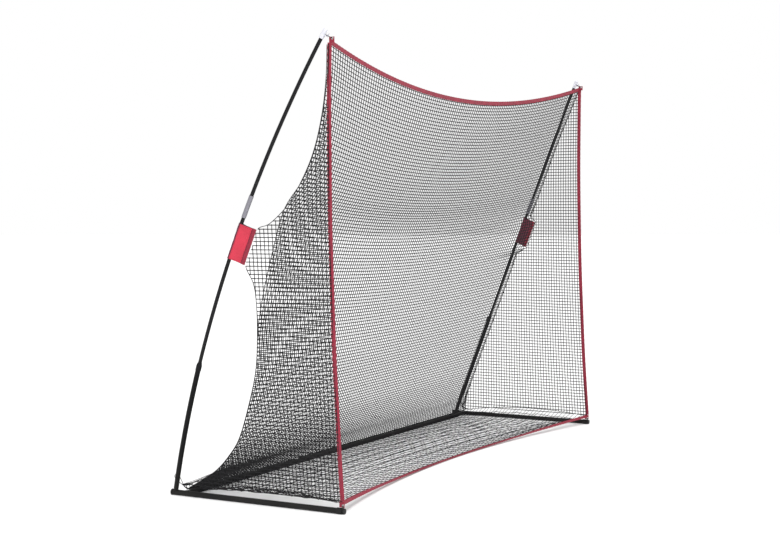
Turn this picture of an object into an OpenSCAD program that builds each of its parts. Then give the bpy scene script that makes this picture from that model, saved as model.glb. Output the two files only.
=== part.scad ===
// Golf hitting net: a knotless net bag stretched between two bowed corner poles
// on a three-sided ground frame. Millimetres, +Z up, opening towards -Y.
// The origin lies on the ground, at the centre of the frame's footprint.

/* [Ground frame] */
// Width between the centre lines of the two side feet
frame_w = 3050; // [2900:10:3200]
// Overall length of a side foot, end caps included
foot_l = 950; // [930:5:970]
// Outside diameter of the ground tubes
tube_d = 25.4; // [25:0.1:26]
// Wall thickness of the ground tubes
tube_wall = 1.2; // [1:0.1:1.4]
// Distance from the rear end of a foot to the crossbar
crossbar_inset = 80; // [75:1:90]
// Length of the middle section of the crossbar
centre_section_l = 1000; // [900:10:1100]
// Length of tube that one section pushes into the next
spigot_l = 58; // [56:1:64]
// Thickness of the moulded sole under an end cap
sole_t = 1.3; // [1.2:0.1:1.6]

/* [Snap buttons] */
// Diameter of a button
button_d = 6.4; // [6:0.1:6.6]
// Height of a button above the tube
button_rise = 2.8; // [2.4:0.1:3]

/* [Poles] */
// Distance from the rear end of a foot to the foot of its pole
pole_inset = 20; // [18:1:22]
// Height of the pole tips
pole_h = 2150; // [2100:10:2200]
// Distance that a pole tip stands forward of the pole's foot
pole_reach = 834; // [800:2:860]
// Sagitta of the bowed pole
pole_bow = 113; // [105:1:120]
// Direction of the bow, turned from straight outward towards the rear
bow_turn = 24.4; // [20:0.1:30]
// Outside diameter of the steel upright tube
upright_d = 24; // [23.5:0.1:24.5]
// Length of the steel upright tube, along the pole
upright_l = 632; // [610:1:640]
// Outside diameter of the glass fibre poles
pole_d = 17.5; // [17:0.1:18]
// Depth that the lower pole enters the upright tube
pole_insert = 90; // [70:1:120]
// Length of the metal ferrule
ferrule_l = 106; // [90:1:120]
// Outside diameter of the ferrule
ferrule_d = 21.4; // [21:0.1:22]
// Distance along the pole to the middle of the ferrule
ferrule_at = 1445; // [1430:1:1460]
// Length of the moulded cap on the pole tip
pole_cap_l = 46; // [44:1:52]

/* [Net] */
// Height of the net's top corners
net_h = 2112; // [2080:1:2120]
// Sag of the top edge at its middle
top_sag = 165; // [120:1:200]
// Rearward bow of the bottom edge at its middle
bottom_bow = 200; // [120:1:220]
// Width of the folded binding round the opening
binding_w = 22; // [18:1:24]
// Thickness of the folded binding
binding_t = 2.6; // [2:0.1:3]
// Thickness of a net panel
net_t = 2.4; // [2:0.1:3]

/* [Pole sleeves] */
// Length of a sleeve along the pole
sleeve_l = 172; // [160:1:180]
// Reach of a sleeve from the pole towards the net
sleeve_reach = 77; // [70:1:80]
// Distance along the pole to the middle of the sleeve
sleeve_at = 1277; // [1270:1:1285]
// Width of the closing flap
flap_w = 58; // [50:1:60]

/* [Elastic loops] */
// Diameter of the elastic cord
loop_d = 3; // [2.6:0.1:3.2]

/* [Hidden] */
$fn = 64;

// Colours
steel_black = [0.08, 0.08, 0.09];
fibre_black = [0.10, 0.10, 0.11];
plastic_black = [0.13, 0.13, 0.14];
plastic_pale = [0.82, 0.82, 0.86];
metal_grey = [0.66, 0.65, 0.68];
binding_red = [0.70, 0.16, 0.26];
sleeve_red = [0.88, 0.27, 0.36];
net_grey = [0.25, 0.25, 0.27];

// Fits: radial play of a push fit, and the gap left between soft pieces
push_play = 0.1;
soft_gap = 1.2;
cut = 1;

// Ground frame
foot_x = frame_w / 2;
foot_half = foot_l / 2;
cap_r = tube_d / 2 + sole_t + 1;
foot_z = tube_d / 2 + sole_t;
tube_id = tube_d - 2 * tube_wall;
spigot_d = tube_id - 2 * push_play;
spigot_id = spigot_d - 2 * tube_wall;
bar_y = foot_half - crossbar_inset;
stub_l = 75;
stub_web = 15;
stub_end = foot_x - stub_l;
joint_x = centre_section_l / 2;
joint_gap = 0.3;
step_l = 10;
front_cap_collar = 25;
front_cap_l = 14.5;
groove_d = 17;
groove_from = 3;
groove_to = 8;
head_d = 26;
rear_cap_l = 5;
rear_plug_l = 20;
tube_front = -foot_half + front_cap_l;
tube_rear = foot_half - rear_cap_l;

// Snap buttons and their leaf springs
button_hole_d = button_d + 0.4;
button_top = tube_d / 2 + button_rise;
button_chamfer = 1.3;
flange_d = 8;
flange_t = 1;
flange_z = 8.2;
outer_button_x = stub_end + spigot_l / 2;
inner_button_x = joint_x + spigot_l / 2;
leaf_t = 0.6;
leaf_w = 7;
leaf_l = 30;
leaf_low = -9.3;
leaf_lead = 5;

// Bowed poles: one arc from the foot's axis to the tip
pole_y = foot_half - pole_inset;
pole_rise = pole_h - foot_z;
pole_chord = sqrt(pole_reach * pole_reach + pole_rise * pole_rise);
pole_lean = atan(pole_reach / pole_rise);
pole_r = pole_chord * pole_chord / (8 * pole_bow) + pole_bow / 2;
pole_half_angle = asin(pole_chord / 2 / pole_r);
pole_arc = pole_r * pole_half_angle * 2 * PI / 180;
arc_fn = 1440;
ring_fn = 64;
upright_wall = 1.2;
upright_id = upright_d - 2 * upright_wall;
upright_from = 22;
upright_to = upright_from + upright_l;
post_l = 85;
post_d = upright_id - 2 * push_play;
crimp_id = 13;
crimp_l = 4;
collar_d = 26.5;
collar_grip = 18;
collar_nose = 16;
collar_shoulder = 4;
collar_play = 0.25;
seat_gap = 0.2;
pole_play = 0.15;
cap_play = 0.25;
pole_wall = 2.6;
lower_from = upright_to - pole_insert;
ferrule_from = ferrule_at - ferrule_l / 2;
ferrule_to = ferrule_at + ferrule_l / 2;
cap_d = 22;
cap_end = 5;
cap_from = pole_arc - pole_cap_l + 2;
hook_z = 18;
hook_shelf = 4;
hook_lip = 16;
hook_lip_from = 20;
hook_to = 24;
hook_half = 4;
hook_loop_z = hook_z + hook_shelf + loop_d / 2 + 0.7;

// Net outline at the sides, as [y, z] points from the bottom up. The left side is
// cut in a curve with an ear to the sleeve. The right side runs along the pole.
sleeve_edge_top = [-70, 1267];
sleeve_edge_bottom = [-8, 1104];
left_rear_edge = [
    [392, 60], [300, 88], [210, 140], [130, 218], [66, 310], [4, 478], [-38, 640], [-52, 830],
    [-50, 960], [-38, 1030], sleeve_edge_bottom, [-40, 1186], sleeve_edge_top,
    [-128, 1294], [-208, 1374], [-276, 1488], [-330, 1620], [-366, 1780], [-384, 1940], [-388, 2084]
];
seam = [
    [388, 34], [300, 84], [210, 136], [130, 214], [66, 306], [4, 474], [-38, 640], [-54, 810],
    [-84, 966], [-134, 1160], [-192, 1352], [-276, 1484], [-332, 1620], [-368, 1780],
    [-388, 1940], [-396, 2084]
];
right_rear_edge = [
    [392, 60], [386, 132], [354, 240], [302, 400], [254, 540], [205, 680], [154, 820],
    [103, 960], [66, 1060], sleeve_edge_bottom, [-40, 1186], sleeve_edge_top, [-36, 1304],
    [-76, 1400], [-134, 1540], [-193, 1680], [-256, 1820], [-322, 1950], [-388, 2084]
];
opening_top_y = -400;
opening_bottom_y = -463;
opening_bottom_z = 58;
side_top_z = 2084;
side_edge_bow = 24;
side_arch = 26;
side_bulge = pole_bow * cos(bow_turn);
floor_rear_y = bar_y - tube_d / 2 - 4;
bottom_edge_z = 3;
bottom_edge_lift = 40;
bottom_tilt = 30;
floor_z = 1;
floor_side_rear = 27;
floor_side_front = 46;
floor_rear_lift = 9;
floor_front_lift = 6;
edge_power = 6;
curl_power = 14;
sag_power = 1.5;
top_edge_back = 60;
top_edge_drop = 4;
back_lead = 2.5;
notch_fade = 16;
seam_inset = 7;
seam_lead = 6;
hem_bore = tube_d + 0.8;
hem_t = 0.8;
hem_window = 24;

// Corner tabs
tab_t = 3;
tab_w = 26;
tab_hole_d = 9;
top_tab_x = foot_x - 4.5;
top_tab_corner = [-421.5, 2092];
top_tab_hole = [-411.7, 2110.9];
bottom_tab_y = -473;
bottom_tab_hole_z = 39;

// Sleeves
sleeve_turn = -125.7;
sleeve_bore = pole_d + 2.1;
sleeve_t = 1.5;
sleeve_outer = sleeve_bore + 2 * sleeve_t;
tail_t = 2.4;
flap_t = 1.4;
flap_clear = 0.7;
flap_rest = 0.4;
flap_trim = 4;

// Elastic loops: [radius at the big end, radius at the small end, centre distance]
loop_sides = 8;
front_loop = [groove_d / 2 + 1.9, 3.6, bottom_tab_hole_z - foot_z - 3.6];
rear_loop = [upright_d / 2 + 5.9, 3.4, 40];
rear_loop_at = 78;
rear_loop_tilt = 40;
top_loop = [8, 3.5, 22];

// --- Shared shapes -----------------------------------------------------------

function lerp(a, b, t) = a + (b - a) * t;
function hump(t) = 4 * t * (1 - t);
function catmull(a, b, c, d, t) =
    0.5 * (2 * b + (c - a) * t + (2 * a - 5 * b + 4 * c - d) * t * t
        + (3 * b - a - 3 * c + d) * t * t * t);
function along(pts, t) =
    let (n = len(pts) - 1, s = min(t * n, n - 0.001), i = floor(s))
    catmull(pts[max(i - 1, 0)], pts[i], pts[i + 1], pts[min(i + 2, n)], s - i);

module tube_x(x0, x1, od, id) {
    translate([x0, bar_y, foot_z]) rotate([0, 90, 0]) difference() {
        cylinder(h = x1 - x0, d = od);
        translate([0, 0, -cut]) cylinder(h = x1 - x0 + 2 * cut, d = id);
    }
}

module rod_x(x0, x1, d) {
    translate([x0, bar_y, foot_z]) rotate([0, 90, 0]) cylinder(h = x1 - x0, d = d);
}

module button_hole(x) {
    translate([x, bar_y, foot_z]) cylinder(h = tube_d, d = button_hole_d);
}

// Bow angle at a distance along the pole, and the frame of one pole
function bow_angle(u) = u / pole_r * 180 / PI - pole_half_angle;

module pole_frame() {
    translate([foot_x, pole_y, foot_z]) rotate([pole_lean, 0, 0]) rotate([0, 0, bow_turn])
        children();
}

// Places children on the pole's axis: z along the pole, x outward on the bow
module on_pole(u) {
    a = bow_angle(u);
    pole_frame()
        translate([pole_r * cos(a) - pole_r + pole_bow, 0, pole_chord / 2 + pole_r * sin(a)])
            rotate([0, -a, 0]) children();
}

module arc_sweep(u0, u1) {
    pole_frame() translate([pole_bow - pole_r, 0, pole_chord / 2]) rotate([90, 0, 0])
        rotate([0, 0, bow_angle(u0)])
            rotate_extrude(angle = bow_angle(u1) - bow_angle(u0), $fn = arc_fn)
                translate([pole_r, 0]) children();
}

module arc_rod(u0, u1, d) {
    arc_sweep(u0, u1) circle(d = d, $fn = ring_fn);
}

module arc_tube(u0, u1, od, id) {
    arc_sweep(u0, u1) difference() {
        circle(d = od, $fn = ring_fn);
        circle(d = id, $fn = ring_fn);
    }
}

// A thin sheet over a grid of points, thickened by one offset vector. The rows
// run so that row direction cross column direction points along the offset.
module sheet(grid, offset) {
    rows = len(grid);
    cols = len(grid[0]);
    count = rows * cols;
    lower = [for (row = grid) each row];
    upper = [for (p = lower) p + offset];
    border = concat(
        [for (i = [0:rows - 2]) i * cols],
        [for (j = [0:cols - 2]) (rows - 1) * cols + j],
        [for (i = [rows - 1:-1:1]) i * cols + cols - 1],
        [for (j = [cols - 1:-1:1]) j]
    );
    cells = [for (i = [0:rows - 2], j = [0:cols - 2]) i * cols + j];
    faces = concat(
        [for (c = cells) [c, c + cols, c + cols + 1]],
        [for (c = cells) [c, c + cols + 1, c + 1]],
        [for (c = cells) [count + c, count + c + cols + 1, count + c + cols]],
        [for (c = cells) [count + c, count + c + 1, count + c + cols + 1]],
        [for (k = [0:len(border) - 1])
            let (a = border[k], b = border[(k + 1) % len(border)])
            each [[a, count + a, count + b], [a, count + b, b]]]
    );
    polyhedron(points = concat(lower, upper), faces = faces, convexity = 6);
}

// A closed loop of cord in the XY plane, round a big circle at the origin and
// a small circle further up the Y axis
module cord_loop(spec) {
    big = spec[0];
    small = spec[1];
    reach = spec[2];
    taper = asin((big - small) / reach);
    turn = 180 + 2 * taper;
    big_steps = 14;
    small_steps = 6;
    path = concat(
        [for (k = [0:big_steps]) [0, big, taper - turn * k / big_steps]],
        [for (k = [0:small_steps]) [reach, small, 180 - taper - (360 - turn) * k / small_steps]]
    );
    n = len(path);
    points = [for (p = path, j = [0:loop_sides - 1])
        let (b = 360 * j / loop_sides, r = p[1] + loop_d / 2 * cos(b))
        [r * cos(p[2]), p[0] + r * sin(p[2]), loop_d / 2 * sin(b)]];
    faces = [for (k = [0:n - 1], j = [0:loop_sides - 1])
        let (k2 = (k + 1) % n, j2 = (j + 1) % loop_sides)
        [k * loop_sides + j, k2 * loop_sides + j, k2 * loop_sides + j2, k * loop_sides + j2]];
    tris = [for (f = faces) each [[f[0], f[1], f[2]], [f[0], f[2], f[3]]]];
    polyhedron(points = points, faces = tris, convexity = 4);
}

// --- Ground frame ------------------------------------------------------------

// Foot tube with its welded crossbar stub and the post that holds the upright
module side_foot() {
    color(steel_black) difference() {
        union() {
            translate([foot_x, tube_front, foot_z]) rotate([-90, 0, 0])
                cylinder(h = tube_rear - tube_front, d = tube_d);
            rod_x(stub_end, foot_x, tube_d);
            arc_rod(0, post_l, post_d);
        }
        translate([foot_x, tube_front - cut, foot_z]) rotate([-90, 0, 0])
            cylinder(h = foot_l, d = tube_id);
        rod_x(stub_end - cut, foot_x - stub_web, tube_id);
        button_hole(outer_button_x);
    }
}

// Slip-on front cap: a soled collar, a groove for the elastic loop and a head
module front_cap() {
    color(plastic_black) difference() {
        translate([foot_x, tube_front, foot_z]) rotate([90, 0, 0]) difference() {
            union() {
                translate([0, 0, -front_cap_collar])
                    cylinder(h = front_cap_collar + groove_from, r = cap_r);
                cylinder(h = front_cap_l - cut, d = groove_d);
                translate([0, 0, groove_to]) cylinder(h = front_cap_l - groove_to, d = head_d);
            }
            translate([0, 0, -front_cap_collar - cut])
                cylinder(h = front_cap_collar + cut, d = tube_d + 2 * push_play);
        }
        translate([foot_x - foot_l / 2, -foot_l, -foot_l]) cube([foot_l, foot_l, foot_l]);
    }
}

// Push-in rear cap with a soled head
module rear_cap() {
    color(plastic_black) difference() {
        translate([foot_x, tube_rear, foot_z]) rotate([-90, 0, 0]) union() {
            cylinder(h = rear_cap_l, r = cap_r);
            translate([0, 0, -rear_plug_l])
                cylinder(h = rear_plug_l + cut, d = tube_id - 2 * push_play);
        }
        translate([foot_x - foot_l / 2, 0, -foot_l]) cube([foot_l, foot_l, foot_l]);
    }
}

// Outer section of the crossbar: a swaged spigot at the foot, a socket inboard
module crossbar_outer() {
    color(steel_black) difference() {
        union() {
            tube_x(joint_x, stub_end - step_l, tube_d, tube_id);
            tube_x(stub_end - step_l, stub_end - joint_gap, tube_d, spigot_id);
            tube_x(stub_end - joint_gap, stub_end + spigot_l, spigot_d, spigot_id);
        }
        button_hole(outer_button_x);
        button_hole(inner_button_x);
    }
}

// Middle section of the crossbar, with a swaged spigot at each end
module crossbar_middle() {
    color(steel_black) difference() {
        union() {
            tube_x(step_l - joint_x, joint_x - step_l, tube_d, tube_id);
            for (side = [0, 1]) mirror([side, 0, 0]) {
                tube_x(joint_x - step_l, joint_x - joint_gap, tube_d, spigot_id);
                tube_x(joint_x - joint_gap, joint_x + spigot_l, spigot_d, spigot_id);
            }
        }
        button_hole(inner_button_x);
        button_hole(-inner_button_x);
    }
}

// Button with a chamfered top and a flange that the leaf spring pushes on
module snap_button(x) {
    color(metal_grey) translate([x, bar_y, foot_z]) {
        translate([0, 0, flange_z]) cylinder(h = flange_t, d = flange_d);
        translate([0, 0, flange_z])
            cylinder(h = button_top - button_chamfer - flange_z, d = button_d);
        translate([0, 0, button_top - button_chamfer])
            cylinder(h = button_chamfer, d1 = button_d, d2 = button_d - 2 * button_chamfer);
    }
}

// Folded leaf spring: a lower leg on the tube wall and an upper leg under the button
module snap_spring(x) {
    color(metal_grey) translate([x, bar_y + leaf_w / 2, foot_z]) rotate([90, 0, 0])
        linear_extrude(height = leaf_w) polygon([
            [leaf_lead, leaf_low], [leaf_lead, leaf_low + leaf_t],
            [leaf_t - leaf_l, leaf_low + leaf_t], [leaf_t - leaf_l, leaf_low + 2 * leaf_t],
            [-leaf_lead, flange_z - leaf_t], [leaf_lead, flange_z - leaf_t],
            [leaf_lead, flange_z], [-leaf_lead - leaf_t, flange_z],
            [-leaf_l, leaf_low + 2 * leaf_t], [-leaf_l, leaf_low]
        ]);
}

// --- Poles -------------------------------------------------------------------

// Steel tube over the foot's post, with a crimp that stops the pole
module upright_tube() {
    color(steel_black) {
        arc_tube(upright_from, upright_to, upright_d, upright_id);
        arc_tube(lower_from - crimp_l, lower_from - seat_gap, upright_d - upright_wall, crimp_id);
    }
}

// Tapered collar that closes the upright round the pole
module upright_collar() {
    color(plastic_black) on_pole(upright_to) difference() {
        union() {
            translate([0, 0, -collar_grip]) cylinder(h = collar_grip + collar_shoulder, d = collar_d);
            translate([0, 0, collar_shoulder])
                cylinder(h = collar_nose, d1 = collar_d, d2 = pole_d + 2);
        }
        translate([0, 0, -collar_grip - cut])
            cylinder(h = collar_grip + cut + seat_gap, d = upright_d + 2 * collar_play);
        translate([0, 0, -cut])
            cylinder(h = collar_shoulder + collar_nose + 2 * cut, d = pole_d + 2 * collar_play);
    }
}

module lower_pole() {
    color(fibre_black) arc_tube(lower_from, ferrule_at - seat_gap, pole_d, pole_d - 2 * pole_wall);
}

module upper_pole() {
    color(fibre_black)
        arc_tube(ferrule_at + seat_gap, cap_from + pole_cap_l - cap_end - pole_play, pole_d,
            pole_d - 2 * pole_wall);
}

module ferrule() {
    color(metal_grey)
        arc_tube(ferrule_from, ferrule_to, ferrule_d, pole_d + 2 * pole_play);
}

// Cap with an upturned hook on the net's side
module pole_cap() {
    color(plastic_pale) on_pole(cap_from) rotate([0, 0, sleeve_turn]) difference() {
        union() {
            cylinder(h = pole_cap_l, d = cap_d);
            translate([0, -hook_half, hook_z]) cube([hook_to, 2 * hook_half, hook_shelf]);
            translate([hook_lip_from, -hook_half, hook_z])
                cube([hook_to - hook_lip_from, 2 * hook_half, hook_shelf + hook_lip]);
        }
        translate([0, 0, -cut])
            cylinder(h = pole_cap_l - cap_end + cut, d = pole_d + 2 * cap_play);
    }
}

// --- Net ---------------------------------------------------------------------

// Front edge of a side panel at a height, and the panel's distance from the middle
function front_y(z) =
    let (t = (z - opening_bottom_z) / (net_h - opening_bottom_z))
    lerp(opening_bottom_y, opening_top_y, t) + side_edge_bow * hump(t);
function pole_line_y(z) =
    let (t = (z - foot_z) / pole_rise)
    pole_y - pole_reach * t + pole_bow * sin(bow_turn) * hump(t);
function side_x(y, z) =
    foot_x + side_bulge * hump(min(max((z - foot_z) / pole_rise, 0), 1))
        * (y - front_y(z)) / (pole_line_y(z) - front_y(z));

side_rows = 38;
side_cols = 8;
back_rows = 26;
back_cols = 24;
floor_rows = 10;
floor_cols = 30;
edge_rows = 30;

// Side panel, from the binding back to its rear edge, drawn on the right
module net_side(rear_edge) {
    grid = [for (i = [0:side_rows])
        let (v = i / side_rows, rear = along(rear_edge, v))
        [for (j = [0:side_cols])
            let (
                h = j / side_cols,
                z = lerp(lerp(opening_bottom_z, side_top_z, v), rear[1], h)
                    + side_arch * hump(h) * pow(1 - v, edge_power),
                front = front_y(z) + binding_w / 2 + soft_gap,
                y = lerp(front, max(rear[0], front + 2), h)
            )
            [side_x(y, z) + net_t / 2, y, z]]];
    color(net_grey) sheet(grid, [-net_t, 0, 0]);
}

// Right-hand seam of the back panel, a little forward of the side panel's rear edge,
// and the same line without the notch at the sleeve
function right_y(z) =
    lookup(z, [for (p = right_rear_edge) [p[1], p[0] - seam_lead]]);
function clear_y(z) =
    let (from = sleeve_edge_bottom[1], to = sleeve_edge_top[1])
    lookup(z, [for (p = right_rear_edge) if (p[1] < from || p[1] > to) [p[1], p[0] - seam_lead]]);

// Back panel, from the sagging top edge down to the crossbar
module back_panel() {
    grid = [for (i = [0:back_rows])
        let (
            v = i / back_rows,
            left = along(seam, 1 - v),
            right = [right_y(left[1]), left[1]],
            left_x = side_x(left[0], left[1]) - seam_inset,
            right_x = side_x(right[0], right[1]) - seam_inset,
            drop = top_sag * pow(1 - v, sag_power),
            clear = clear_y(left[1]),
            back = top_edge_back * pow(1 - v, 2)
        )
        [for (j = [0:back_cols])
            let (
                w = j / back_cols,
                hang = hump(w),
                far = lerp(clear, right[0], pow(w, notch_fade)),
                y = lerp(left[0], far, 1 - pow(1 - w, back_lead))
            )
            [lerp(-left_x, right_x, w), y + back * hang, left[1] - drop * hang]]];
    color(net_grey) sheet(grid, [0, -net_t, -net_t] / sqrt(2));
}

// Bottom binding's centre line, and the floor panel behind it
function bottom_y(s) = opening_bottom_y + bottom_bow * (1 - s * s);
function bottom_z(s) = bottom_edge_z + bottom_edge_lift * s * s;

module floor_panel() {
    half = foot_x - seam_inset;
    grid = [for (i = [0:floor_rows])
        let (w = i / floor_rows)
        [for (j = [0:floor_cols])
            let (
                s = 2 * j / floor_cols - 1,
                front = bottom_y(s) + binding_w / 2 + soft_gap,
                side_z = lerp(floor_side_rear, floor_side_front, w) + side_arch * hump(w),
                rear_z = floor_rear_lift * pow(1 - w, edge_power),
                front_z = (bottom_z(s) + floor_front_lift - floor_z) * pow(w, edge_power),
                lift = max(side_z * pow(abs(s), curl_power), rear_z, front_z)
            )
            [s * half, lerp(floor_rear_y, front, w), floor_z + lift]]];
    color(net_grey) sheet(grid, [0, 0, net_t]);
}

// Net channel that the crossbar runs through, open over the two inner buttons
module hem() {
    color(net_grey) difference() {
        tube_x(-stub_end + step_l, stub_end - step_l, hem_bore + 2 * hem_t, hem_bore);
        for (x = [-inner_button_x, inner_button_x])
            translate([x - hem_window / 2, bar_y - tube_d / 4, foot_z])
                cube([hem_window, tube_d / 2, tube_d]);
    }
}

// --- Binding, tabs and sleeves -------------------------------------------------

module top_binding() {
    half = top_tab_x - tab_t / 2 - soft_gap;
    grid = [for (i = [0:edge_rows])
        let (
            s = 2 * i / edge_rows - 1,
            y = opening_top_y + top_edge_back * (1 - s * s),
            z = net_h - top_edge_drop - top_sag * (1 - s * s)
        )
        [[s * half, y, z], [s * half, y, z - binding_w]]];
    color(binding_red) sheet(grid, [0, binding_t, 0]);
}

module bottom_binding() {
    half = foot_x - tab_t / 2 - soft_gap;
    run = binding_w * cos(bottom_tilt) / 2;
    grid = [for (i = [0:edge_rows])
        let (
            s = 2 * i / edge_rows - 1,
            rise = binding_w * sin(bottom_tilt) * s * s
        )
        [[s * half, bottom_y(s) - run, bottom_z(s)],
            [s * half, bottom_y(s) + run, bottom_z(s) + rise]]];
    color(binding_red) sheet(grid, [0, 0, binding_t]);
}

module side_binding() {
    low = opening_bottom_z;
    high = top_tab_corner[1] - soft_gap;
    grid = [for (i = [0:edge_rows])
        let (z = lerp(low, high, i / edge_rows), y = front_y(z))
        [[foot_x + binding_t / 2, y - binding_w / 2, z],
            [foot_x + binding_t / 2, y + binding_w / 2, z]]];
    color(binding_red) sheet(grid, [-binding_t, 0, 0]);
}

// A doubled square of webbing with an eyelet, in a vertical plane along the side
module corner_tab(x, y0, z0, hole) {
    color(binding_red) translate([x - tab_t / 2, 0, 0]) rotate([90, 0, 90])
        linear_extrude(height = tab_t) difference() {
            translate([y0, z0]) square([tab_w, tab_w]);
            translate(hole) circle(d = tab_hole_d, $fn = 32);
        }
}

module top_tab() {
    corner_tab(top_tab_x, top_tab_corner[0], top_tab_corner[1], top_tab_hole);
}

module bottom_tab() {
    corner_tab(foot_x, bottom_tab_y, opening_bottom_z - soft_gap - tab_w,
        [-foot_half + front_cap_l - (groove_from + groove_to) / 2, bottom_tab_hole_z]);
}

// Sleeve in the pole's frame: x towards the net, y outward, z along the pole
module sleeve_frame() {
    on_pole(sleeve_at) rotate([0, 0, sleeve_turn]) children();
}

module pole_sleeve() {
    color(sleeve_red) sleeve_frame() translate([0, 0, -sleeve_l / 2]) difference() {
        union() {
            cylinder(h = sleeve_l, d = sleeve_outer);
            translate([0, -tail_t / 2, 0]) cube([sleeve_reach, tail_t, sleeve_l]);
        }
        translate([0, 0, -cut]) cylinder(h = sleeve_l + 2 * cut, d = sleeve_bore);
    }
}

// Closing flap, hinged where the sleeve turns round the pole
module sleeve_flap() {
    root_y = sleeve_outer / 2 + flap_clear;
    tip_y = tail_t / 2 + flap_rest;
    color(sleeve_red) sleeve_frame() translate([0, 0, flap_trim / 2 - sleeve_l / 2])
        linear_extrude(height = sleeve_l - flap_trim) polygon([
            [0, root_y], [flap_w, tip_y], [flap_w, tip_y + flap_t], [0, root_y + flap_t]
        ]);
}

// --- Elastic loops -------------------------------------------------------------

module front_loop_cord() {
    color(plastic_black)
        translate([foot_x, tube_front - (groove_from + groove_to) / 2, foot_z])
            rotate([90, 0, 0]) cord_loop(front_loop);
}

module rear_loop_cord() {
    color(plastic_black) on_pole(rear_loop_at) rotate([0, 0, sleeve_turn - 90])
        rotate([-rear_loop_tilt, 0, 0]) cord_loop(rear_loop);
}

module top_loop_cord() {
    color(plastic_black) on_pole(cap_from) rotate([0, 0, sleeve_turn - 90])
        translate([0, hook_to - 2, hook_loop_z]) cord_loop(top_loop);
}

// --- Left and right nodes --------------------------------------------------------

module left() {
    mirror([1, 0, 0]) children();
}

left() side_foot();  // side_foot_left
side_foot();  // side_foot_right
left() front_cap();  // front_cap_left
front_cap();  // front_cap_right
left() rear_cap();  // rear_cap_left
rear_cap();  // rear_cap_right
left() crossbar_outer();  // crossbar_left
crossbar_middle();  // crossbar_centre
crossbar_outer();  // crossbar_right
left() snap_button(outer_button_x);  // snap_button_outer_left
left() snap_button(inner_button_x);  // snap_button_inner_left
snap_button(inner_button_x);  // snap_button_inner_right
snap_button(outer_button_x);  // snap_button_outer_right
left() snap_spring(outer_button_x);  // snap_spring_outer_left
left() snap_spring(inner_button_x);  // snap_spring_inner_left
snap_spring(inner_button_x);  // snap_spring_inner_right
snap_spring(outer_button_x);  // snap_spring_outer_right
left() upright_tube();  // upright_tube_left
upright_tube();  // upright_tube_right
left() upright_collar();  // upright_collar_left
upright_collar();  // upright_collar_right
left() lower_pole();  // lower_pole_left
lower_pole();  // lower_pole_right
left() ferrule();  // ferrule_left
ferrule();  // ferrule_right
left() upper_pole();  // upper_pole_left
upper_pole();  // upper_pole_right
left() pole_cap();  // pole_cap_left
pole_cap();  // pole_cap_right
back_panel();  // net_back
floor_panel();  // net_floor
left() net_side(left_rear_edge);  // net_side_left
net_side(right_rear_edge);  // net_side_right
hem();  // crossbar_hem
top_binding();  // binding_top
bottom_binding();  // binding_bottom
left() side_binding();  // binding_left
side_binding();  // binding_right
left() top_tab();  // corner_tab_top_left
top_tab();  // corner_tab_top_right
left() bottom_tab();  // corner_tab_bottom_left
bottom_tab();  // corner_tab_bottom_right
left() pole_sleeve();  // pole_sleeve_left
pole_sleeve();  // pole_sleeve_right
left() sleeve_flap();  // sleeve_flap_left
sleeve_flap();  // sleeve_flap_right
left() front_loop_cord();  // front_loop_left
front_loop_cord();  // front_loop_right
left() rear_loop_cord();  // rear_loop_left
rear_loop_cord();  // rear_loop_right
left() top_loop_cord();  // top_loop_left
top_loop_cord();  // top_loop_right
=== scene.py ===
"""Golf hitting net: netting, webbing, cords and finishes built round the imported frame.

Everything is in metres in the frame's own axes: +Z up, the opening towards -Y.
"""

import logging
import math
from dataclasses import dataclass, field
from enum import Enum
from typing import Callable, Iterable, Sequence

import bpy
import numpy as np
from mathutils import Matrix, Vector


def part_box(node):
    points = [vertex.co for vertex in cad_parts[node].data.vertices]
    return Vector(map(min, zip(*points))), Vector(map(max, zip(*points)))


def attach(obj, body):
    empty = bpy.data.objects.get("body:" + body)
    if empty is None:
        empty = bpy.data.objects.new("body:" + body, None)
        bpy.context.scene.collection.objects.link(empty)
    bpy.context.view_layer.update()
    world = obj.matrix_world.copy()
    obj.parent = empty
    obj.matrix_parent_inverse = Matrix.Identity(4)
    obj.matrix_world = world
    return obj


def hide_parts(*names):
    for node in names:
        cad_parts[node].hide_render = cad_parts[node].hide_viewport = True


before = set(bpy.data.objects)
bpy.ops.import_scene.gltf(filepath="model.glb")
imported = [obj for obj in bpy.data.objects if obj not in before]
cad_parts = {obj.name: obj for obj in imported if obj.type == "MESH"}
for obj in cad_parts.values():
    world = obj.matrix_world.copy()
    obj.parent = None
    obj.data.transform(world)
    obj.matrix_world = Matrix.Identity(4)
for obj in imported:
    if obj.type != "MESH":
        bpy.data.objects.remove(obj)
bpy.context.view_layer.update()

LOG = logging.getLogger("hitting_net")

Paths = list[np.ndarray]
Place = Callable[[float, float], Sequence[float]]
Colour = tuple[float, float, float]


class Side(Enum):
    """The two sides of the net, seen from the opening."""

    LEFT = -1
    RIGHT = 1

    @property
    def word(self) -> str:
        """The side's name as the frame's nodes spell it."""
        return self.name.lower()

    def turn(self, points: np.ndarray) -> np.ndarray:
        """Right-hand points, mirrored where this is the left side."""
        return np.asarray(points, float) * (self.value, 1.0, 1.0)


class Slot(Enum):
    """The net's material slot names."""

    STEEL = "powder_coat"
    PLASTIC = "cap_plastic"
    SPRING = "spring_steel"
    FIBRE = "glass_fibre"
    FERRULE = "ferrule_metal"
    POLE_CAP = "pole_cap_plastic"
    NET = "netting"
    WEBBING = "webbing"
    SLEEVE = "sleeve_fabric"
    ELASTIC = "elastic_cord"


# --- Shapes the netting hangs on ------------------------------------------------


def lerp(a: float, b: float, t: float) -> float:
    """The value a share t of the way from a to b."""
    return a + (b - a) * t


def hump(t: float) -> float:
    """A parabola that is 0 at both ends and 1 in the middle."""
    return 4.0 * t * (1.0 - t)


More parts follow.
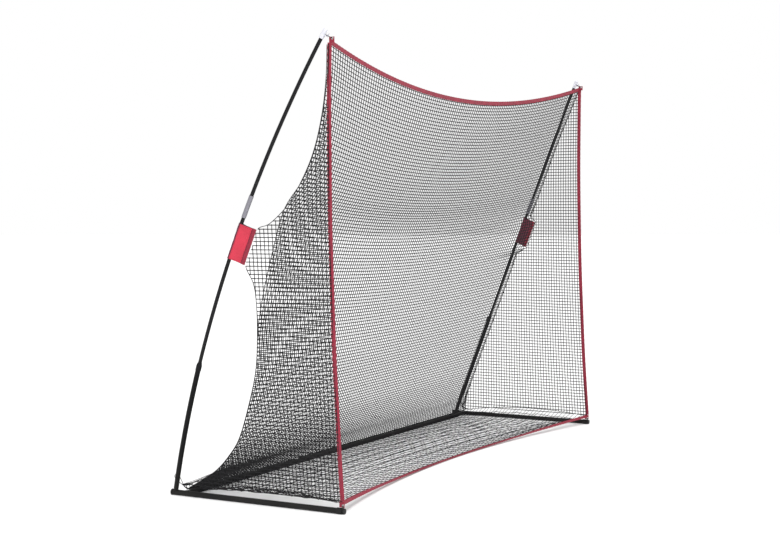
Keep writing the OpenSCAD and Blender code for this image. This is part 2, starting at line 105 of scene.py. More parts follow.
def along(points: Sequence[Sequence[float]], t: float) -> np.ndarray:
    """Walks a Catmull-Rom curve.

    Args:
        points: The curve's control points.
        t: Where to stand, from 0 at the first point to 1 at the last.

    Returns:
        The point on the curve.
    """
    last = len(points) - 1
    walk = min(t * last, last - 1e-6)
    i = int(walk)
    f = walk - i
    a, b, c, d = (
        np.array(points[k]) for k in (max(i - 1, 0), i, i + 1, min(i + 2, last))
    )
    return 0.5 * (
        2 * b
        + (c - a) * f
        + (2 * a - 5 * b + 4 * c - d) * f**2
        + (3 * b - a - 3 * c + d) * f**3
    )


@dataclass(frozen=True)
class PoleLine:
    """The bowed centre line of the right-hand corner pole."""

    foot: tuple[float, float, float] = (1.525, 0.455, 0.014)
    reach: float = 0.834
    rise: float = 2.136
    bow: float = 0.113
    turn: float = math.radians(24.4)
    net_turn: float = math.radians(-125.7)

    @property
    def chord(self) -> float:
        """Straight length from the foot to the tip."""
        return math.hypot(self.reach, self.rise)

    @property
    def radius(self) -> float:
        """Radius of the bow."""
        return self.chord**2 / (8 * self.bow) + self.bow / 2

    @property
    def half_angle(self) -> float:
        """Half the angle that the bow spans."""
        return math.asin(self.chord / 2 / self.radius)

    def at(self, run: float, turned: float = 0.0) -> Matrix:
        """Stands on the pole's axis, with Z along the pole.

        Args:
            run: Distance along the pole from its foot.
            turned: Turn round the pole's own axis, in radians.

        Returns:
            The place and axes as one matrix.
        """
        angle = run / self.radius - self.half_angle
        lean = math.atan2(self.reach, self.rise)
        out = self.radius * math.cos(angle) - self.radius + self.bow
        up = self.chord / 2 + self.radius * math.sin(angle)
        return (
            Matrix.Translation(self.foot)
            @ Matrix.Rotation(lean, 4, "X")
            @ Matrix.Rotation(self.turn, 4, "Z")
            @ Matrix.Translation((out, 0.0, up))
            @ Matrix.Rotation(-angle, 4, "Y")
            @ Matrix.Rotation(turned, 4, "Z")
        )


@dataclass(frozen=True)
class NetOutline:
    """The curved surfaces of the bag. Left and right differ in their rear edges."""

    pole: PoleLine = PoleLine()
    foot_x: float = 1.525
    net_h: float = 2.112
    bottom_z: float = 0.058
    top_y: float = -0.400
    bottom_y: float = -0.463
    edge_bow: float = 0.024
    top_sag: float = 0.165
    top_back: float = 0.060
    top_drop: float = 0.004
    lead: float = 2.5
    notch_fade: float = 16.0
    bottom_bow: float = 0.200
    floor_rear: float = 0.3783
    tape: float = 0.022
    notch: tuple[float, float] = (1.104, 1.267)
    left_edge: tuple[tuple[float, float], ...] = (
        (0.392, 0.060), (0.300, 0.088), (0.210, 0.140), (0.130, 0.218), (0.066, 0.310),
        (0.004, 0.478), (-0.038, 0.640), (-0.052, 0.830), (-0.050, 0.960), (-0.038, 1.030),
        (-0.008, 1.104), (-0.040, 1.186), (-0.070, 1.267), (-0.128, 1.294), (-0.208, 1.374),
        (-0.276, 1.488), (-0.330, 1.620), (-0.366, 1.780), (-0.384, 1.940), (-0.388, 2.084),
    )
    right_edge: tuple[tuple[float, float], ...] = (
        (0.392, 0.060), (0.386, 0.132), (0.354, 0.240), (0.302, 0.400), (0.254, 0.540),
        (0.205, 0.680), (0.154, 0.820), (0.103, 0.960), (0.066, 1.060), (-0.008, 1.104),
        (-0.040, 1.186), (-0.070, 1.267), (-0.036, 1.304), (-0.076, 1.400), (-0.134, 1.540),
        (-0.193, 1.680), (-0.256, 1.820), (-0.322, 1.950), (-0.388, 2.084),
    )
    left_seam: tuple[tuple[float, float], ...] = (
        (0.388, 0.034), (0.300, 0.084), (0.210, 0.136), (0.130, 0.214), (0.066, 0.306),
        (0.004, 0.474), (-0.038, 0.640), (-0.054, 0.810), (-0.084, 0.966), (-0.134, 1.160),
        (-0.192, 1.352), (-0.276, 1.484), (-0.332, 1.620), (-0.368, 1.780), (-0.388, 1.940),
        (-0.396, 2.084),
    )

    def front_y(self, z: float) -> float:
        """The line down the middle of the side binding."""
        t = (z - self.bottom_z) / (self.net_h - self.bottom_z)
        return lerp(self.bottom_y, self.top_y, t) + self.edge_bow * hump(t)

    def side_x(self, y: float, z: float) -> float:
        """How far the side panel stands from the middle of the net."""
        pole = self.pole
        t = (z - pole.foot[2]) / pole.rise
        pole_y = pole.foot[1] - pole.reach * t + pole.bow * math.sin(pole.turn) * hump(t)
        bulge = pole.bow * math.cos(pole.turn) * hump(min(max(t, 0.0), 1.0))
        front = self.front_y(z)
        return self.foot_x + bulge * (y - front) / (pole_y - front)

    def side(self, y: float, z: float) -> tuple[float, float, float]:
        """A point of the right side panel."""
        return (self.side_x(y, z), y, z)

    def back(self, s: float, v: float) -> tuple[float, float, float]:
        """A point of the back panel.

        Args:
            s: Across, from -1 at the left seam to 1 at the right one.
            v: Down, from 0 at the top edge to 1 at the crossbar.

        Returns:
            The point.
        """
        y, z = along(self.left_seam, 1 - v)
        far_y = self.right_y(z)
        w = (s + 1) / 2
        hang = hump(w)
        back = self.top_back * (1 - v) ** 2
        far = lerp(self.clear_y(z), far_y, w**self.notch_fade)
        drop = self.top_sag * (1 - v) ** 1.5
        x = lerp(-self.side_x(y, z), self.side_x(far_y, z), w) - 0.002 * s
        return (x, lerp(y, far, 1 - (1 - w) ** self.lead) + back * hang, z - drop * hang)

    def edge(self, side: Side) -> tuple[tuple[float, float], ...]:
        """The rear edge of one side panel, as y and z from the bottom up."""
        return self.left_edge if side is Side.LEFT else self.right_edge

    def right_y(self, z: float) -> float:
        """Where the back panel's right seam is at a height."""
        ys, zs = zip(*self.right_edge)
        return float(np.interp(z, zs, ys)) - 0.004

    def clear_y(self, z: float) -> float:
        """The right seam's line without the notch at the sleeve."""
        low, high = self.notch
        ys, zs = zip(*(p for p in self.right_edge if not low <= p[1] <= high))
        return float(np.interp(z, zs, ys)) - 0.004

    def seam(self, side: Side) -> list[tuple[float, float]]:
        """The seam of one side panel and the back panel, as y and z from the bottom up."""
        left = [tuple(along(self.left_seam, t)) for t in np.linspace(0, 1, 420)]
        return left if side is Side.LEFT else [(self.right_y(z), z) for _, z in left]

    def low_edge(self, y: float) -> float:
        """Height of the seam where the side panel meets the floor panel."""
        h = (y - self.bottom_y) / (self.floor_rear - self.bottom_y)
        return lerp(0.050, 0.036, h) + 0.030 * hump(min(max(h, 0.0), 1.0))

    def floor(self, s: float, w: float) -> tuple[float, float, float]:
        """A point of the floor panel.

        Args:
            s: Across, from -1 to 1.
            w: Forward, from 0 at the crossbar to 1 at the bottom binding.

        Returns:
            The point.
        """
        front, tape_z = self.bottom_tape(s)
        y = lerp(self.floor_rear, front + self.tape / 3, w)
        rear = 0.009 * (1 - w) ** 6
        lift = (tape_z + 0.003) * w**6
        curl = self.low_edge(y) * abs(s) ** 14
        x = s * (self.foot_x - 0.002)
        fold = math.sin(45 * x - 84 * y + 2 * math.sin(3 * x + 5 * y))
        slack = 0.0045 * (1 + fold) * hump(w)
        return (x, y, 0.0026 + max(curl, rear, lift) + slack)

    def bottom_tape(self, s: float) -> tuple[float, float]:
        """The bottom binding's middle line, as y and z."""
        return self.bottom_y + self.bottom_bow * (1 - s * s), 0.003 + 0.040 * s * s


# --- Modelling helpers ------------------------------------------------------------


def pick(*pieces: bpy.types.Object) -> None:
    """Leaves nothing selected but these pieces.

    Args:
        pieces: What is to be selected; the first one becomes active.
    """
    if bpy.context.object and bpy.context.object.mode != "OBJECT":
        bpy.ops.object.mode_set(mode="OBJECT")
    bpy.ops.object.select_all(action="DESELECT")
    for piece in pieces:
        piece.select_set(True)
    if pieces:
        bpy.context.view_layer.objects.active = pieces[0]


def named(name: str) -> bpy.types.Object:
    """Takes the object that an operator has just made and names it and its data."""
    made = bpy.context.object
    made.name = made.data.name = name
    return made


def freeze(piece: bpy.types.Object) -> bpy.types.Object:
    """Moves a piece's place and size into its mesh."""
    pick(piece)
    bpy.ops.object.transform_apply(location=True, rotation=True, scale=True)
    return piece


def settle(piece: bpy.types.Object) -> bpy.types.Object:
    """Applies every modifier in order and shades the piece smooth by angle."""
    pick(piece)
    for modifier in list(piece.modifiers):
        bpy.ops.object.modifier_apply(modifier=modifier.name)
    bpy.ops.object.shade_smooth_by_angle(angle=math.radians(40))
    return piece


def face_out(piece: bpy.types.Object, merge: float = 1e-6) -> bpy.types.Object:
    """Merges doubles, closes open ends and turns the faces outwards."""
    pick(piece)
    bpy.ops.object.mode_set(mode="EDIT")
    bpy.ops.mesh.select_all(action="SELECT")
    bpy.ops.mesh.remove_doubles(threshold=merge)
    bpy.ops.mesh.select_all(action="SELECT")
    bpy.ops.mesh.fill_holes(sides=0)
    bpy.ops.mesh.select_all(action="SELECT")
    bpy.ops.mesh.normals_make_consistent(inside=False)
    bpy.ops.object.mode_set(mode="OBJECT")
    return piece


def fitted_grid(
    name: str, across: int, run: int, place: Place, size: tuple[float, float]
) -> bpy.types.Object:
    """Adds a flat grid and lays it on a surface.

    Args:
        name: The piece's name.
        across: Faces across the sheet.
        run: Faces along the sheet.
        place: Turns a share across and a share along into a point.
        size: The sheet's flat size, which scales its UV map to metres.

    Returns:
        The grid, laid in place.
    """
    pick()
    bpy.ops.mesh.primitive_grid_add(x_subdivisions=across, y_subdivisions=run, size=1.0)
    piece = named(name)
    mesh = piece.data
    flat = np.empty(len(mesh.vertices) * 3)
    mesh.vertices.foreach_get("co", flat)
    spots = flat.reshape(-1, 3)[:, :2] + 0.5
    laid = np.array([place(float(u), float(v)) for u, v in spots])
    mesh.vertices.foreach_set("co", laid.ravel())
    uv = np.empty(len(mesh.loops) * 2)
    layer = mesh.uv_layers.active.data
    layer.foreach_get("uv", uv)
    layer.foreach_set("uv", (uv.reshape(-1, 2) * size).ravel())
    mesh.update()
    return piece


def cloth(piece: bpy.types.Object, thickness: float, rounding: float) -> bpy.types.Object:
    """Gives a laid grid its thickness and soft edges.

    Args:
        piece: The grid.
        thickness: Thickness of the cloth.
        rounding: Radius at its edges.

    Returns:
        The same piece, closed.
    """
    wall = piece.modifiers.new("Wall", "SOLIDIFY")
    wall.thickness = thickness
    wall.offset = 0.0
    edge = piece.modifiers.new("Edge", "BEVEL")
    edge.width = rounding
    edge.segments = 2
    edge.limit_method = "ANGLE"
    edge.angle_limit = math.radians(50)
    return settle(piece)


def strands(
    name: str,
    paths: Iterable[np.ndarray],
    thickness: float,
    sides: int = 0,
    closed: bool = False,
) -> bpy.types.Object:
    """Lays twine along paths and turns it into one mesh.

    Args:
        name: The piece's name.
        paths: The points that each length of twine follows.
        thickness: Diameter of the twine.
        sides: Bevel resolution: 0 gives four sides, 2 gives eight.
        closed: Whether each path runs back to its start.

    Returns:
        The mesh of all the lengths.
    """
    line = bpy.data.curves.new(name, "CURVE")
    line.dimensions = "3D"
    line.bevel_depth = thickness / 2
    line.bevel_resolution = sides
    line.use_fill_caps = not closed
    for path in paths:
        spline = line.splines.new("POLY")
        spline.points.add(len(path) - 1)
        spline.points.foreach_set("co", np.c_[path, np.ones(len(path))].ravel())
        spline.use_cyclic_u = closed
        spline.use_smooth = True
    piece = bpy.data.objects.new(name, line)
    bpy.context.scene.collection.objects.link(piece)
    pick(piece)
    bpy.ops.object.convert(target="MESH")
    bpy.ops.object.mode_set(mode="EDIT")
    bpy.ops.mesh.select_all(action="SELECT")
    bpy.ops.mesh.remove_doubles(threshold=1e-6)
    bpy.ops.object.mode_set(mode="OBJECT")
    return named(name)


def knots(
    name: str, spots: np.ndarray, across: np.ndarray, down: np.ndarray,
    size: tuple[float, ...],
) -> bpy.types.Object:
    """Copies one small knot to every crossing of a net.

    Args:
        name: The piece's name.
        spots: The crossings.
        across: Unit directions of the twine one way, one for each crossing.
        down: Unit directions of the twine the other way.
        size: The knot's three radii: across, down and through.

    Returns:
        The mesh of all the knots.
    """
    pick()
    bpy.ops.mesh.primitive_circle_add(vertices=4, radius=1.0, fill_type="TRIFAN")
    piece = named(name)
    for corner in piece.data.vertices:
        corner.co.z = 1.0 - corner.co.length
    bpy.ops.object.mode_set(mode="EDIT")
    bpy.ops.mesh.select_all(action="SELECT")
    bpy.ops.mesh.duplicate()
    bpy.ops.transform.resize(value=(1.0, 1.0, -1.0), center_override=(0.0, 0.0, 0.0))
    bpy.ops.object.mode_set(mode="OBJECT")
    face_out(piece)
    corners = np.array([v.co for v in piece.data.vertices]) * size
    faces = np.array([list(p.vertices) for p in piece.data.polygons])
    through = np.cross(across, down)
    axes = np.stack([across, down, through], axis=1)
    cloud = np.einsum("ck,nkj->ncj", corners, axes) + spots[:, None, :]
    shift = np.arange(len(spots))[:, None, None] * len(corners)
    mesh = bpy.data.meshes.new(name)
    mesh.from_pydata(
        cloud.reshape(-1, 3).tolist(), [], (faces[None] + shift).reshape(-1, 3).tolist()
    )
    mesh.validate()
    old = piece.data
    piece.data = mesh
    bpy.data.meshes.remove(old)
    mesh.name = name
    face_out(piece, merge=1e-7)
    pick(piece)
    bpy.ops.object.shade_smooth()
    return piece


def unit(vectors: np.ndarray) -> np.ndarray:
    """Vectors scaled to a length of one."""
    return vectors / np.linalg.norm(vectors, axis=-1, keepdims=True)


def coiled(line: np.ndarray, per: int, step: float, swing: np.ndarray) -> np.ndarray:
    """A twine wound round a line.

    Args:
        line: The line's points.
        per: Points of the coil for each point of the line.
        step: Turn from one point to the next, in radians.
        swing: How far it goes out at the cosine and at the sine of each turn.

    Returns:
        The coil's points.
    """
    turns = np.arange(len(line) * per) * step
    spine = np.array([
        np.interp(np.linspace(0, len(line) - 1, len(turns)), range(len(line)), line[:, k])
        for k in range(3)
    ]).T
    return spine + np.c_[np.cos(turns), np.sin(turns)] @ swing


def joined(name: str, pieces: Sequence[bpy.types.Object]) -> bpy.types.Object:
    """Joins pieces of one finish into one object.

    Args:
        name: The joined piece's name.
        pieces: What to join; the first one takes the rest.

    Returns:
        The joined piece.
    """
    pick(*pieces)
    if len(pieces) > 1:
        bpy.ops.object.join()
    return named(name)


def finish_piece(
    piece: bpy.types.Object, body: str, slot: Slot, finish: bpy.types.Material
) -> bpy.types.Object:
    """Dresses a piece, puts it on its body and reports it.

    Args:
        piece: The finished mesh.
        body: The CAD body that it rides on.
        slot: The material slot that its finish belongs to; not used.
        finish: Its material.

    Returns:
        The same piece.
    """
    piece.data.materials.clear()
    piece.data.materials.append(finish)
    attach(piece, body)
    LOG.info("%s: %d faces on %s", piece.name, len(piece.data.polygons), body)
    return piece


# --- Finishes -----------------------------------------------------------------------


class Wiring:
    """Adds and joins the shader nodes of one node tree."""

    def __init__(self, tree: bpy.types.NodeTree) -> None:
        """Keeps the tree that the nodes go in."""
        self.tree = tree

    def add(self, kind: str, inputs: dict | None = None, **settings: object) -> bpy.types.Node:
        """Adds a node.

        Args:
            kind: The node's type, without its ShaderNode prefix.
            inputs: Values or sockets by input name or number.
            settings: The node's own properties.

        Returns:
            The node.
        """
        node = self.tree.nodes.new("ShaderNode" + kind)
        for key, value in settings.items():
            setattr(node, key, value)
        for key, value in (inputs or {}).items():
            self.feed(node.inputs[key], value)
        return node

    def feed(self, socket: bpy.types.NodeSocket, value: object) -> None:
        """Joins a socket to another one, or sets its value."""
        if isinstance(value, bpy.types.NodeSocket):
            self.tree.links.new(value, socket)
        elif isinstance(value, tuple) and len(value) == 3 and socket.type == "RGBA":
            socket.default_value = (*value, 1.0)
        else:
            socket.default_value = value

    def maths(self, operation: str, *values: object, clamp: bool = False) -> bpy.types.NodeSocket:
        """One sum of values and sockets.

        Args:
            operation: The Math node's operation.
            values: Its inputs in order.
            clamp: Whether the result is kept between 0 and 1.

        Returns:
            The result's socket.
        """
        node = self.add("Math", dict(enumerate(values)), operation=operation, use_clamp=clamp)
        return node.outputs[0]

    def mix(self, share: object, first: object, second: object) -> bpy.types.NodeSocket:
        """Mixes two colours.

        Args:
            share: How much of the second colour shows.
            first: The first colour.
            second: The second colour.

        Returns:
            The mixed colour's socket.
        """
        node = self.add("Mix", data_type="RGBA")
        self.feed(node.inputs[0], share)
        self.feed(node.inputs[6], first)
        self.feed(node.inputs[7], second)
        return node.outputs[2]

    def ramp(self, value: object, low: float, high: float) -> bpy.types.NodeSocket:
        """A mask that rises from 0 at low to 1 at high."""
        node = self.add("MapRange", {0: value, 1: low, 2: high}, interpolation_type="SMOOTHSTEP")
        return node.outputs[0]


def new_group(name: str, inputs: dict[str, float], outputs: Sequence[str]) -> tuple:
    """Starts a shared node group.

    Args:
        name: The group's name.
        inputs: Its number inputs and their defaults; "Vector" makes a vector input.
        outputs: Its outputs, which are all numbers.

    Returns:
        The group, its wiring, and its input and output nodes.
    """
    group = bpy.data.node_groups.new(name, "ShaderNodeTree")
    for label, value in inputs.items():
        kind = "NodeSocketVector" if label == "Vector" else "NodeSocketFloat"
        socket = group.interface.new_socket(label, in_out="INPUT", socket_type=kind)
        if kind == "NodeSocketFloat":
            socket.default_value = value
    for label in outputs:
        group.interface.new_socket(label, in_out="OUTPUT", socket_type="NodeSocketFloat")
    entry = group.nodes.new("NodeGroupInput")
    leave = group.nodes.new("NodeGroupOutput")
    return group, Wiring(group), entry, leave


def wear_group() -> bpy.types.NodeTree:
    """Scuffs, dust low down, and fine grain, all on Object coordinates."""
    group, wire, entry, leave = new_group(
        "surface_wear", {"Grain": 900.0, "Scuff": 18.0, "Dust height": 0.25},
        ("Grain", "Scuff", "Dust", "Tone"),
    )
    where = wire.add("TexCoord").outputs["Object"]
    grain = wire.add("TexNoise", {"Vector": where, "Scale": entry.outputs["Grain"], "Detail": 3.0})
    scuff = wire.add(
        "TexNoise",
        {"Vector": where, "Scale": entry.outputs["Scuff"], "Detail": 8.0, "Roughness": 0.7},
    )
    tone = wire.add("TexNoise", {"Vector": where, "Scale": 6.0, "Detail": 4.0})
    height = wire.add("SeparateXYZ", {0: where}).outputs["Z"]
    low = wire.maths("DIVIDE", height, entry.outputs["Dust height"])
    fall = wire.maths("SUBTRACT", 1.0, low, clamp=True)
    cloud = wire.maths("MULTIPLY", fall, tone.outputs[0])
    wire.feed(leave.inputs["Grain"], grain.outputs[0])
    wire.feed(leave.inputs["Scuff"], wire.ramp(scuff.outputs[0], 0.60, 0.72))
    wire.feed(leave.inputs["Dust"], cloud)
    wire.feed(leave.inputs["Tone"], wire.ramp(tone.outputs[0], 0.35, 0.65))
    return group


def weave_group() -> bpy.types.NodeTree:
    """A plain weave on a metric UV map: yarns over and under each other."""
    group, wire, entry, leave = new_group(
        "plain_weave", {"Vector": 0.0, "Warp": 1400.0, "Weft": 1400.0}, ("Height", "Gap", "Fleck")
    )
    parts = wire.add("SeparateXYZ", {0: entry.outputs["Vector"]})
    warp = wire.maths("MULTIPLY", parts.outputs["X"], entry.outputs["Warp"])
    weft = wire.maths("MULTIPLY", parts.outputs["Y"], entry.outputs["Weft"])
    across = wire.maths("ABSOLUTE", wire.maths("SINE", wire.maths("MULTIPLY", warp, math.pi)))
    down = wire.maths("ABSOLUTE", wire.maths("SINE", wire.maths("MULTIPLY", weft, math.pi)))
    turn = wire.maths("ADD", wire.maths("FLOOR", warp), wire.maths("FLOOR", weft))
    over = wire.maths("PINGPONG", turn, 1.0)
    height = wire.add("Mix", {0: over, 2: across, 3: down}, data_type="FLOAT").outputs[0]
    gap = wire.maths("MAXIMUM", across, down)
    fleck = wire.add("TexNoise", {"Vector": entry.outputs["Vector"], "Scale": 2200.0})
    wire.feed(leave.inputs["Height"], height)
    # Gap is 0 between the yarns; the cloth finish paints shade there.
    wire.feed(leave.inputs["Gap"], wire.ramp(gap, 0.05, 0.45))
    wire.feed(leave.inputs["Fleck"], fleck.outputs[0])
    return group


def rib_group() -> bpy.types.NodeTree:
    """Ribbed webbing: fine ribs across the tape, on a metric UV map."""
    group, wire, entry, leave = new_group(
        "webbing_ribs", {"Vector": 0.0, "Ribs": 620.0, "Yarns": 1500.0},
        ("Height", "Groove", "Tone"),
    )
    parts = wire.add("SeparateXYZ", {0: entry.outputs["Vector"]})
    rib_run = wire.maths("MULTIPLY", parts.outputs["Y"], entry.outputs["Ribs"])
    yarn_run = wire.maths("MULTIPLY", parts.outputs["X"], entry.outputs["Yarns"])
    rib = wire.maths("ABSOLUTE", wire.maths("SINE", wire.maths("MULTIPLY", rib_run, math.pi)))
    yarn = wire.maths("ABSOLUTE", wire.maths("SINE", wire.maths("MULTIPLY", yarn_run, math.pi)))
    tone = wire.add("TexNoise", {"Vector": entry.outputs["Vector"], "Scale": 24.0, "Detail": 5.0})
    height = wire.maths("ADD", rib, wire.maths("MULTIPLY", yarn, 0.35))
    wire.feed(leave.inputs["Height"], height)
    # Groove is 0 between the ribs; the cloth finish paints shade there.
    wire.feed(leave.inputs["Groove"], wire.ramp(rib, 0.05, 0.5))
    wire.feed(leave.inputs["Tone"], wire.ramp(tone.outputs[0], 0.3, 0.7))
    return group


class Workshop:
    """Keeps the shared node groups, and starts each material."""

    def __init__(self) -> None:
        """Builds every shared group once."""
        self.wear = wear_group()
        self.weave = weave_group()
        self.ribs = rib_group()

    def start(self, name: str) -> tuple[bpy.types.Material, Wiring, bpy.types.Node]:
        """Starts a material.

        Args:
            name: The material's name.

        Returns:
            The material, its wiring and its main shader.
        """
        material = bpy.data.materials.new(name)
        material.use_nodes = True
        wire = Wiring(material.node_tree)
        shader = next(n for n in material.node_tree.nodes if n.type == "BSDF_PRINCIPLED")
        return material, wire, shader

    def place(self, wire: Wiring, group: bpy.types.NodeTree, **values: object) -> bpy.types.Node:
        """Places a shared group in a material.

        Args:
            wire: The material's wiring.
            group: The group.
            values: Its inputs, with underscores for spaces.

        Returns:
            The group's node.
        """
        node = wire.add("Group")
        node.node_tree = group
        for key, value in values.items():
            wire.feed(node.inputs[key.replace("_", " ")], value)
        return node


@dataclass(frozen=True)
class HardFinish:
    """Paint, plastic or metal, with grain, scuffs and dust near the ground."""

    name: str
    colour: Colour
    scuffed: Colour
    roughness: float
    metallic: float = 0.0
    grain: float = 900.0
    scuff: float = 18.0
    scuff_share: float = 0.5
    bump: float = 0.00004
    coat: float = 0.0
    milky: float = 0.0
    dust: float = 0.35
    gloss: float = 0.5

    def make(self, shop: Workshop) -> bpy.types.Material:
        """Builds the material.

        Args:
            shop: Where the shared groups are.

        Returns:
            The material.
        """
        material, wire, shader = shop.start(self.name)
        wear = shop.place(wire, shop.wear, Grain=self.grain, Scuff=self.scuff)
        shade = tuple(0.82 * c for c in self.colour)
        base = wire.mix(wear.outputs["Tone"], shade, self.colour)
        worn = wire.maths("MULTIPLY", wear.outputs["Scuff"], self.scuff_share)
        base = wire.mix(worn, base, self.scuffed)
        dusty = wire.maths("MULTIPLY", wear.outputs["Dust"], self.dust, clamp=True)
        base = wire.mix(dusty, base, (0.30, 0.28, 0.25))
        wire.feed(shader.inputs["Base Color"], base)
        rough = wire.maths("MULTIPLY_ADD", wear.outputs["Scuff"], 0.18, self.roughness)
        rough = wire.maths("MULTIPLY_ADD", dusty, 0.3, rough, clamp=True)
        wire.feed(shader.inputs["Roughness"], rough)
        bump = wire.add("Bump", {"Strength": 0.6, "Distance": self.bump})
        wire.feed(bump.inputs["Height"], wear.outputs["Grain"])
        wire.feed(shader.inputs["Normal"], bump.outputs[0])
        shader.inputs["Metallic"].default_value = self.metallic
        shader.inputs["Specular IOR Level"].default_value = self.gloss
        shader.inputs["Coat Weight"].default_value = self.coat
        shader.inputs["Coat Roughness"].default_value = 0.22
        shader.inputs["Subsurface Weight"].default_value = self.milky
        shader.inputs["Subsurface Radius"].default_value = (0.008, 0.008, 0.009)
        return material


@dataclass(frozen=True)
class FibreFinish:
    """Pultruded glass fibre: lengthwise streaks under a thin gloss."""

    name: str = "pole_glass_fibre"
    colour: Colour = (0.003, 0.003, 0.0035)
    streak: Colour = (0.010, 0.010, 0.012)

    def make(self, shop: Workshop) -> bpy.types.Material:
        """Builds the material.

        Args:
            shop: Where the shared groups are.

        Returns:
            The material.
        """
        material, wire, shader = shop.start(self.name)
        where = wire.add("TexCoord").outputs["Object"]
        drawn = wire.add("Mapping", {"Vector": where, "Scale": (1.0, 1.0, 0.02)})
        fibres = wire.add(
            "TexNoise", {"Vector": drawn.outputs[0], "Scale": 1400.0, "Detail": 2.0}
        )
        wear = shop.place(wire, shop.wear, Grain=1200.0, Scuff=9.0)
        base = wire.mix(wire.ramp(fibres.outputs[0], 0.45, 0.75), self.colour, self.streak)
        rub = wire.maths("MULTIPLY", wear.outputs["Scuff"], 0.25)
        wire.feed(shader.inputs["Base Color"], wire.mix(rub, base, (0.09, 0.09, 0.10)))
        rough = wire.maths("MULTIPLY_ADD", wear.outputs["Tone"], 0.12, 0.30)
        wire.feed(shader.inputs["Roughness"], rough)
        bump = wire.add("Bump", {"Strength": 0.4, "Distance": 0.00003})
        wire.feed(bump.inputs["Height"], fibres.outputs[0])
        wire.feed(shader.inputs["Normal"], bump.outputs[0])
        shader.inputs["Specular IOR Level"].default_value = 0.18
        shader.inputs["Coat Weight"].default_value = 0.03
        shader.inputs["Coat Roughness"].default_value = 0.18
        return material


@dataclass(frozen=True)
class TwineFinish:
    """Knotless net twine: dark filament yarn with a fine lay, painted shade in the lay's grooves,
    and dusty flecks.
    """

    name: str
    colour: Colour
    fleck: Colour
    lay: float = 1500.0

    def make(self, shop: Workshop) -> bpy.types.Material:
        """Builds the material.

        Args:
            shop: Where the shared groups are.

        Returns:
            The material.
        """
        material, wire, shader = shop.start(self.name)
        where = wire.add("TexCoord").outputs["Object"]
        lay = wire.add(
            "TexWave",
            {"Vector": where, "Scale": self.lay / 6, "Distortion": 3.0, "Detail": 2.0},
            wave_type="BANDS", bands_direction="DIAGONAL",
        )
        wear = shop.place(wire, shop.wear, Grain=self.lay, Scuff=140.0)
        base = wire.mix(wear.outputs["Grain"], self.colour, self.fleck)
        # Painted shade: the colour falls to 0.45 of itself along the lay's bands, as if shade lay in
        # the grooves between the plies.
        shade = wire.maths("MULTIPLY", lay.outputs["Fac"], 0.45)
        base = wire.mix(shade, base, tuple(0.45 * c for c in self.colour))
        wire.feed(shader.inputs["Base Color"], base)
        bump = wire.add("Bump", {"Strength": 0.8, "Distance": 0.0003})
        wire.feed(bump.inputs["Height"], lay.outputs["Fac"])
        wire.feed(shader.inputs["Normal"], bump.outputs[0])
        shader.inputs["Roughness"].default_value = 0.78
        shader.inputs["Specular IOR Level"].default_value = 0.2
        return material


@dataclass(frozen=True)
class ClothFinish:
    """Woven cloth or ribbed webbing on a metric UV map, with painted shade in the gaps between the
    yarns and the grooves between the ribs.
    """

    name: str
    colour: Colour
    shade: Colour
    ribbed: bool = False
    warp: float = 1300.0
    weft: float = 1300.0
    sheen: float = 0.35
    depth: float = 0.00025

    def make(self, shop: Workshop) -> bpy.types.Material:
        """Builds the material.

        Args:
            shop: Where the shared groups are.

        Returns:
            The material.
        """
        material, wire, shader = shop.start(self.name)
        where = wire.add("TexCoord").outputs["UV"]
        wear = shop.place(wire, shop.wear, Grain=2500.0, Scuff=30.0)
        if self.ribbed:
            yarn = shop.place(wire, shop.ribs, Vector=where, Ribs=self.weft, Yarns=self.warp)
            low, tone = yarn.outputs["Groove"], yarn.outputs["Tone"]
        else:
            yarn = shop.place(wire, shop.weave, Vector=where, Warp=self.warp, Weft=self.weft)
            low, tone = yarn.outputs["Gap"], wear.outputs["Tone"]
        # Painted shade: the weave's gaps and the ribs' grooves take 0.55 of the darker tone colour.
        dark = tuple(0.55 * c for c in self.shade)
        base = wire.mix(tone, self.shade, self.colour)
        base = wire.mix(low, dark, base)
        rubbed = wire.maths("MULTIPLY", wear.outputs["Scuff"], 0.22)
        pale = tuple(min(1.0, 1.25 * c + 0.05) for c in self.colour)
        wire.feed(shader.inputs["Base Color"], wire.mix(rubbed, base, pale))
        rough = wire.maths("MULTIPLY_ADD", wear.outputs["Grain"], 0.2, 0.55)
        wire.feed(shader.inputs["Roughness"], rough)
        bump = wire.add("Bump", {"Strength": 0.7, "Distance": self.depth})
        wire.feed(bump.inputs["Height"], yarn.outputs["Height"])
        wire.feed(shader.inputs["Normal"], bump.outputs[0])
        shader.inputs["Sheen Weight"].default_value = self.sheen
        shader.inputs["Sheen Roughness"].default_value = 0.45
        return material


